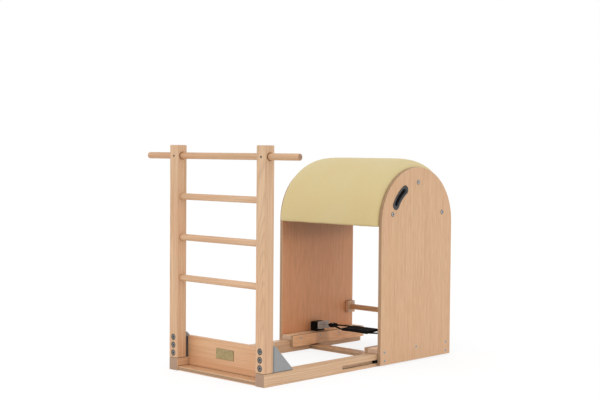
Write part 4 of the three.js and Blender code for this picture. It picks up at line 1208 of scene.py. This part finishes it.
def socket_head(radius, height, socket, axis, place, way=1, wall=0.35):
    """A domed head with a hexagonal socket, which stands on place.

    It faces along the axis, or against it if way is -1. The rings go from the rim's foot over the dome, then
    as hexagons down the socket to its floor.
    """
    turn = np.linspace(0, 1, 6) * math.pi / 2 * 0.92
    skirt = height * wall
    rise = skirt + (height - skirt) * np.sin(turn) / math.sin(turn[-1])
    dome = np.stack([radius * (0.52 + 0.48 * np.cos(turn)), rise], -1)
    floor = socket_floor_height(height, socket)
    hexagon = [(socket * 1.08, height), (socket, height - socket * 0.12), (socket, floor), (0, floor)]
    profile = np.concatenate([[(0, 0), (radius * 0.98, 0)], dome, hexagon])
    hexed = [False] * (len(dome) + 2) + [True] * 3 + [False]
    return turned(profile * (1, way), axis, place, SOCKET_SIDES, hexed)


def socket_floor(height, socket, axis, place, way=1):
    """The dark bottom of a head's socket, as painted shade in the socket: a thin hexagon that stands on the
    socket's floor.
    """
    floor = socket_floor_height(height, socket)
    top = floor + height * 0.15
    profile = np.array([(0, floor), (socket * 0.97, floor), (socket * 0.97, top), (0, top)])
    return turned(profile * (1, way), axis, place, SOCKET_SIDES, [False, True, True, False])


# places on the outer face of a side panel, from its lower front corner, in millimetres
PANEL_SCREWS = ((27.5, 59.6), (258, 60.6), (486, 58.6), (27.5, 19.1), (486, 17.6))
# places on the inner face of a cheek, from its lower front corner, in millimetres
CHEEK_SCREWS = ((52, 38), (190, 38), (329, 38), (468, 38))
# places on the inner face of a bar block, from its middle, in millimetres
BLOCK_SCREWS = ((-14.4, -19.1), (14.4, 19.1))
POST_SCREW_DROP = 0.048
HOUSING_SCREWS = (-0.024, 0.024)
# radius and height of the heads that differ from the panels' screws, or their share of that radius
POST_SCREW = (0.0046, 0.0012)
HOUSING_SCREW = (0.0042, 0.0018)
CHEEK_SCREW_SHARE, BLOCK_SCREW_SHARE = 0.8, 0.75
PANEL_SCREW_HEIGHT, INNER_SCREW_HEIGHT = 0.0016, 0.0013
SOCKET_SHARE = 0.42  # of a small screw's radius
# radius and height of washers, heads and nuts; the washers are dark, as painted shade of the counterbores and
# under the panel heads
POST_WASHER, POST_WASHER_HEIGHT = 0.01375, 0.0015
POST_HEAD, POST_HEAD_HEIGHT, POST_SOCKET = 0.0108, 0.003, 0.0045
POST_NUT, POST_NUT_HEIGHT = 0.0078, 0.006
PANEL_WASHER_HEIGHT = 0.0012
PANEL_HEAD_HEIGHT, PANEL_SOCKET = 0.0036, 0.0042
PANEL_HEAD_INSET = 0.0016  # from the washer's edge to the head's
POST_RING_DROP = 0.0007  # how far the dark ring stays below the head's top
SHANK, SHANK_CHAMFER = 0.004, 0.0008
RING_ROUND, WASHER_ROUND = 0.0005, 0.0004


class BARREL_OT_bolts(bpy.types.Operator):
    """Makes the bolts of ladder and barrel, and the small screws"""

    bl_idname = "barrel.bolts"
    bl_label = "Bolts and screws"

    def execute(self, context):
        bright = tuple(context.scene.barrel_colours.bright_steel)
        steel = metal("bolt_steel", bright, 0.36, 0.6, "x", 400, worn=0.14)
        grey = metal("post_bolt_steel", tuple(c * 0.42 for c in bright), 0.5, 0.5, "x", 400, worn=0.14)
        # dark steel for the post screws, and the painted shade of the washer rings and the socket floors
        dull_and_shade = metal("dark_steel_and_painted_shade", tuple(c * 0.09 for c in bright), 0.7, 0.0, "x", 400, worn=0.12)
        self.post_bolts(grey, dull_and_shade)
        self.panel_bolts(steel, dull_and_shade)
        self.screws(steel, dull_and_shade, context.scene.barrel_sizes.screw_diameter / 2)
        return {"FINISHED"}

    def post_bolts(self, steel, dull_and_shade):
        """Socket heads in dark rings, sunk in the posts' counterbores, with nuts behind the gussets. The
        rings are washers darkened as painted shade of the counterbores, and the sockets hold dark hexagons as
        painted shade.
        """
        for level in ("lower", "middle", "upper"):
            low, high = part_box(f"post_bolt_{level}_left")
            centre = (low + high) / 2
            seat = low.x + POST_HEAD_HEIGHT + POST_WASHER_HEIGHT
            place = (seat - POST_WASHER_HEIGHT, centre.y, centre.z)
            # the dark ring: a washer that fills the counterbore, dark as painted shade of it
            bore, cup = POST_HEAD * 0.97, POST_HEAD_HEIGHT + POST_WASHER_HEIGHT - POST_RING_DROP
            corners = [(bore, 0), (POST_WASHER, 0), (POST_WASHER, cup), (bore, cup)]
            ring = filleted(corners, RING_ROUND, 3, closed=True)
            ring = (turned(ring * (1, -1), "x", (seat, centre.y, centre.z), 40)[0], (True, True))
            end = high.x
            nut = end - POST_NUT_HEIGHT
            profile = [(0, seat), (SHANK, seat), (SHANK, nut), (POST_NUT, nut),
                       (POST_NUT, end - SHANK_CHAMFER), (POST_NUT - SHANK_CHAMFER, end),
                       (SHANK * 0.95, end), (0, end)]
            hexed = [False, False, False, True, True, False, False, False]
            grids = [
                socket_head(POST_HEAD, POST_HEAD_HEIGHT, POST_SOCKET, "x", place, -1, wall=0.6),
                turned(profile, "x", (0, centre.y, centre.z), SOCKET_SIDES, hexed),
            ]
            pair_of(f"post_bolt_{level}_head", "base", "steel", steel, grids, f"post_bolt_{level}_{{}}")
            # painted shade: the dark washer ring and the dark socket floor
            dark = [ring, socket_floor(POST_HEAD_HEIGHT, POST_SOCKET, "x", place, -1)]
            pair_of(f"post_washer_{level}", "base", "steel", dull_and_shade, dark)

    def panel_bolts(self, steel, dull_and_shade):
        """Low domed socket heads on the panels' outer faces, with their shanks to the battens. A dark washer
        under each head and a dark hexagon in each socket are painted shade.
        """
        for level in ("front", "top", "rear"):
            name = f"panel_bolt_{level}"
            low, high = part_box(f"{name}_left")
            centre = (low + high) / 2
            face = high.y - PANEL_HEAD_HEIGHT
            radius, place = (high.x - low.x) / 2, (centre.x, face, centre.z)
            size = radius - PANEL_HEAD_INSET, PANEL_HEAD_HEIGHT, PANEL_SOCKET
            head = socket_head(*size, "y", place, wall=0.3)
            profile = [(0, low.y), (SHANK * 0.95, low.y), (SHANK, low.y + SHANK_CHAMFER), (SHANK, face),
                       (0, face)]
            shank = turned(profile, "y", (centre.x, 0, centre.z), 28)
            pair_of(f"{name}_head", "barrel", "steel", steel, [head, shank], name + "_{}")
            # a dark washer under the head and a dark socket floor, as painted shadow round the head and in
            # its socket
            corners = [(0, 0), (radius, 0), (radius, PANEL_WASHER_HEIGHT), (0, PANEL_WASHER_HEIGHT)]
            rim = turned(filleted(corners, WASHER_ROUND, 3), "y", place, 40)
            dark = [rim, socket_floor(PANEL_HEAD_HEIGHT, PANEL_SOCKET, "y", place)]
            pair_of(f"panel_washer_{level}", "barrel", "steel", dull_and_shade, dark)

    def screws(self, steel, dull_and_shade, radius):
        """Small screws, by the piece that they hold: where, how large, how high, facing which way."""
        panel_low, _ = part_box("side_panel_left")
        cheek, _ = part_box("cheek_left")
        block, block_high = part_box("bar_block_left")
        middle = (block + block_high) / 2
        post, post_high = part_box("post_left")
        housing, housing_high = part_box("latch_housing_left")
        centre = (housing + housing_high) / 2
        black = moulded("housing_screw", (0.03, 0.03, 0.032), 0.3)
        groups = (
            ("panel", "barrel", steel, "y", 1, radius, PANEL_SCREW_HEIGHT,
             [(panel_low.x + x * MM, PANEL_OUTER, panel_low.z + z * MM) for x, z in PANEL_SCREWS]),
            ("cheek", "barrel", steel, "y", -1, radius * CHEEK_SCREW_SHARE, INNER_SCREW_HEIGHT,
             [(cheek.x + x * MM, cheek.y, cheek.z + z * MM) for x, z in CHEEK_SCREWS]),
            ("block", "barrel", steel, "y", -1, radius * BLOCK_SCREW_SHARE, INNER_SCREW_HEIGHT,
             [(middle.x + x * MM, block.y, middle.z + z * MM) for x, z in BLOCK_SCREWS]),
            ("post", "base", dull_and_shade, "x", -1, *POST_SCREW,
             [(post.x, (post.y + post_high.y) / 2, post_high.z - POST_SCREW_DROP)]),
            ("housing", "barrel", black, "z", 1, *HOUSING_SCREW,
             [(centre.x + x, centre.y, housing_high.z) for x in HOUSING_SCREWS]),
        )
        for name, body, finish, axis, way, size, height, places in groups:
            slot = "black_plastic" if finish is black else "steel"
            socket = size * SOCKET_SHARE
            heads = [socket_head(size, height, socket, axis, place, way) for place in places]
            pair_of(f"{name}_screws", body, slot, finish, heads)
            # dark hexagons on the socket floors, as painted shade in the sockets
            floors = [socket_floor(height, socket, axis, place, way) for place in places]
            pair_of(f"{name}_screw_sockets", body, "steel", dull_and_shade, floors)


# Metal and plastic fittings

PIN_RADIUS, PIN_HEIGHT, PIN_INSET = 0.0019, 0.0011, 0.005
BEND_LINE = (0.0062, 0.0070)  # between which distances from a gusset's front its bend line lies
GUSSET_INNER = (0.25, 0.27)  # between which distances from the middle plane its inner leg lies
BEHIND_KICK, BELOW_KICK_TOP = 0.009, 0.008  # from the kick board's front and top to that leg's shade
# width and depth of the shades at a gusset's joints, beside its bend and behind the kick board
GUSSET_JOINT_SHADE = (0.005, 0.45)
BEND_SHADE = (0.0012, 0.35)
KICK_SHADE = (0.008, 0.7)


class BARREL_OT_fittings(bpy.types.Operator):
    """Gives the gussets, plates, springs, guides and housings their finishes, and pins the bare plate"""

    bl_idname = "barrel.fittings"
    bl_label = "Fittings"

    def execute(self, context):
        colours = context.scene.barrel_colours
        coated = tuple(colours.coated_steel)
        for side, way in (("left", 1), ("right", -1)):
            node = f"gusset_{side}"
            boxes = self.bends(node, way)
            dress(metal(f"{node}_steel", coated, 0.5, 0.15, "z", 500, worn=0.03, boxes=boxes), node)
        taupe = metal("plate_steel", TAUPE_STEEL, 0.46, 0.25, "z", 700, worn=0.04)
        dress(taupe, "pull_plate_left", "pull_plate_right")
        bright = metal("latch_steel", tuple(colours.bright_steel), 0.3, 0.9)
        dress(bright, "latch_pin_left", "latch_pin_right", "latch_spring_left", "latch_spring_right")
        plastic = moulded("fitting_plastic", tuple(c * 0.3 for c in colours.plastic), 0.5, gloss=0.05)
        dress(plastic, *(f"{name}_{side}" for name in ("guide_front", "guide_rear", "latch_housing")
                         for side in ("left", "right")))
        brass = metal("plate_brass", tuple(colours.brass), 0.42, 0.55, "y", 800, worn=0.22)
        dress(brass, "name_plate")
        low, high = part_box("name_plate")
        dome = dome_profile(PIN_RADIUS, PIN_HEIGHT) * (1, -1)
        pins = [turned(dome, "x", (low.x, y, z), 20) for y in (low.y + PIN_INSET, high.y - PIN_INSET)
                for z in (low.z + PIN_INSET, high.z - PIN_INSET)]
        form("plate_pins", "base", "brass", brass, pins)
        return {"FINISHED"}

    def bends(self, node, way):
        """The shades at a gusset's joints, beside its bend and on its leg behind the kick board."""
        low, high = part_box(node)
        kick_low, kick_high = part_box("kick_board")
        line = ((low.x + BEND_LINE[0], -1, low.z), (low.x + BEND_LINE[1], 1, high.z), *BEND_SHADE)
        inner = sorted(way * y for y in GUSSET_INNER)
        far = (kick_low.x + BEHIND_KICK, inner[1], kick_high.z - BELOW_KICK_TOP)
        leg = ((low.x, inner[0], low.z), far, *KICK_SHADE)
        return neighbours(node, *GUSSET_JOINT_SHADE) + [line, leg]


OPERATORS = (BARREL_OT_stage, BARREL_OT_strap, BARREL_OT_pad, BARREL_OT_dowels, BARREL_OT_timber,
             BARREL_OT_grips, BARREL_OT_bolts, BARREL_OT_fittings)


class BARREL_PT_studio(bpy.types.Panel):
    """Lists the sizes, the colours and the steps"""

    bl_label = "Ladder barrel"
    bl_idname = "BARREL_PT_studio"
    bl_space_type = "VIEW_3D"
    bl_region_type = "UI"
    bl_category = "Barrel"

    def draw(self, context):
        for group in (context.scene.barrel_sizes, context.scene.barrel_colours):
            box = self.layout.box()
            for name in group.bl_rna.properties.keys():
                if name not in ("rna_type", "name"):
                    box.prop(group, name)
        for operator in OPERATORS:
            self.layout.operator(operator.bl_idname)


CLASSES = (BarrelSizes, BarrelColours, *OPERATORS, BARREL_PT_studio)


def register():
    for item in CLASSES:
        bpy.utils.register_class(item)
    bpy.types.Scene.barrel_sizes = PointerProperty(type=BarrelSizes)
    bpy.types.Scene.barrel_colours = PointerProperty(type=BarrelColours)


def unregister():
    del bpy.types.Scene.barrel_colours
    del bpy.types.Scene.barrel_sizes
    for item in reversed(CLASSES):
        bpy.utils.unregister_class(item)


def main():
    register()
    for operator in OPERATORS:
        group, name = operator.bl_idname.split(".")
        getattr(getattr(bpy.ops, group), name)()
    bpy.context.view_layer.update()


if __name__ == "__main__":
    main()
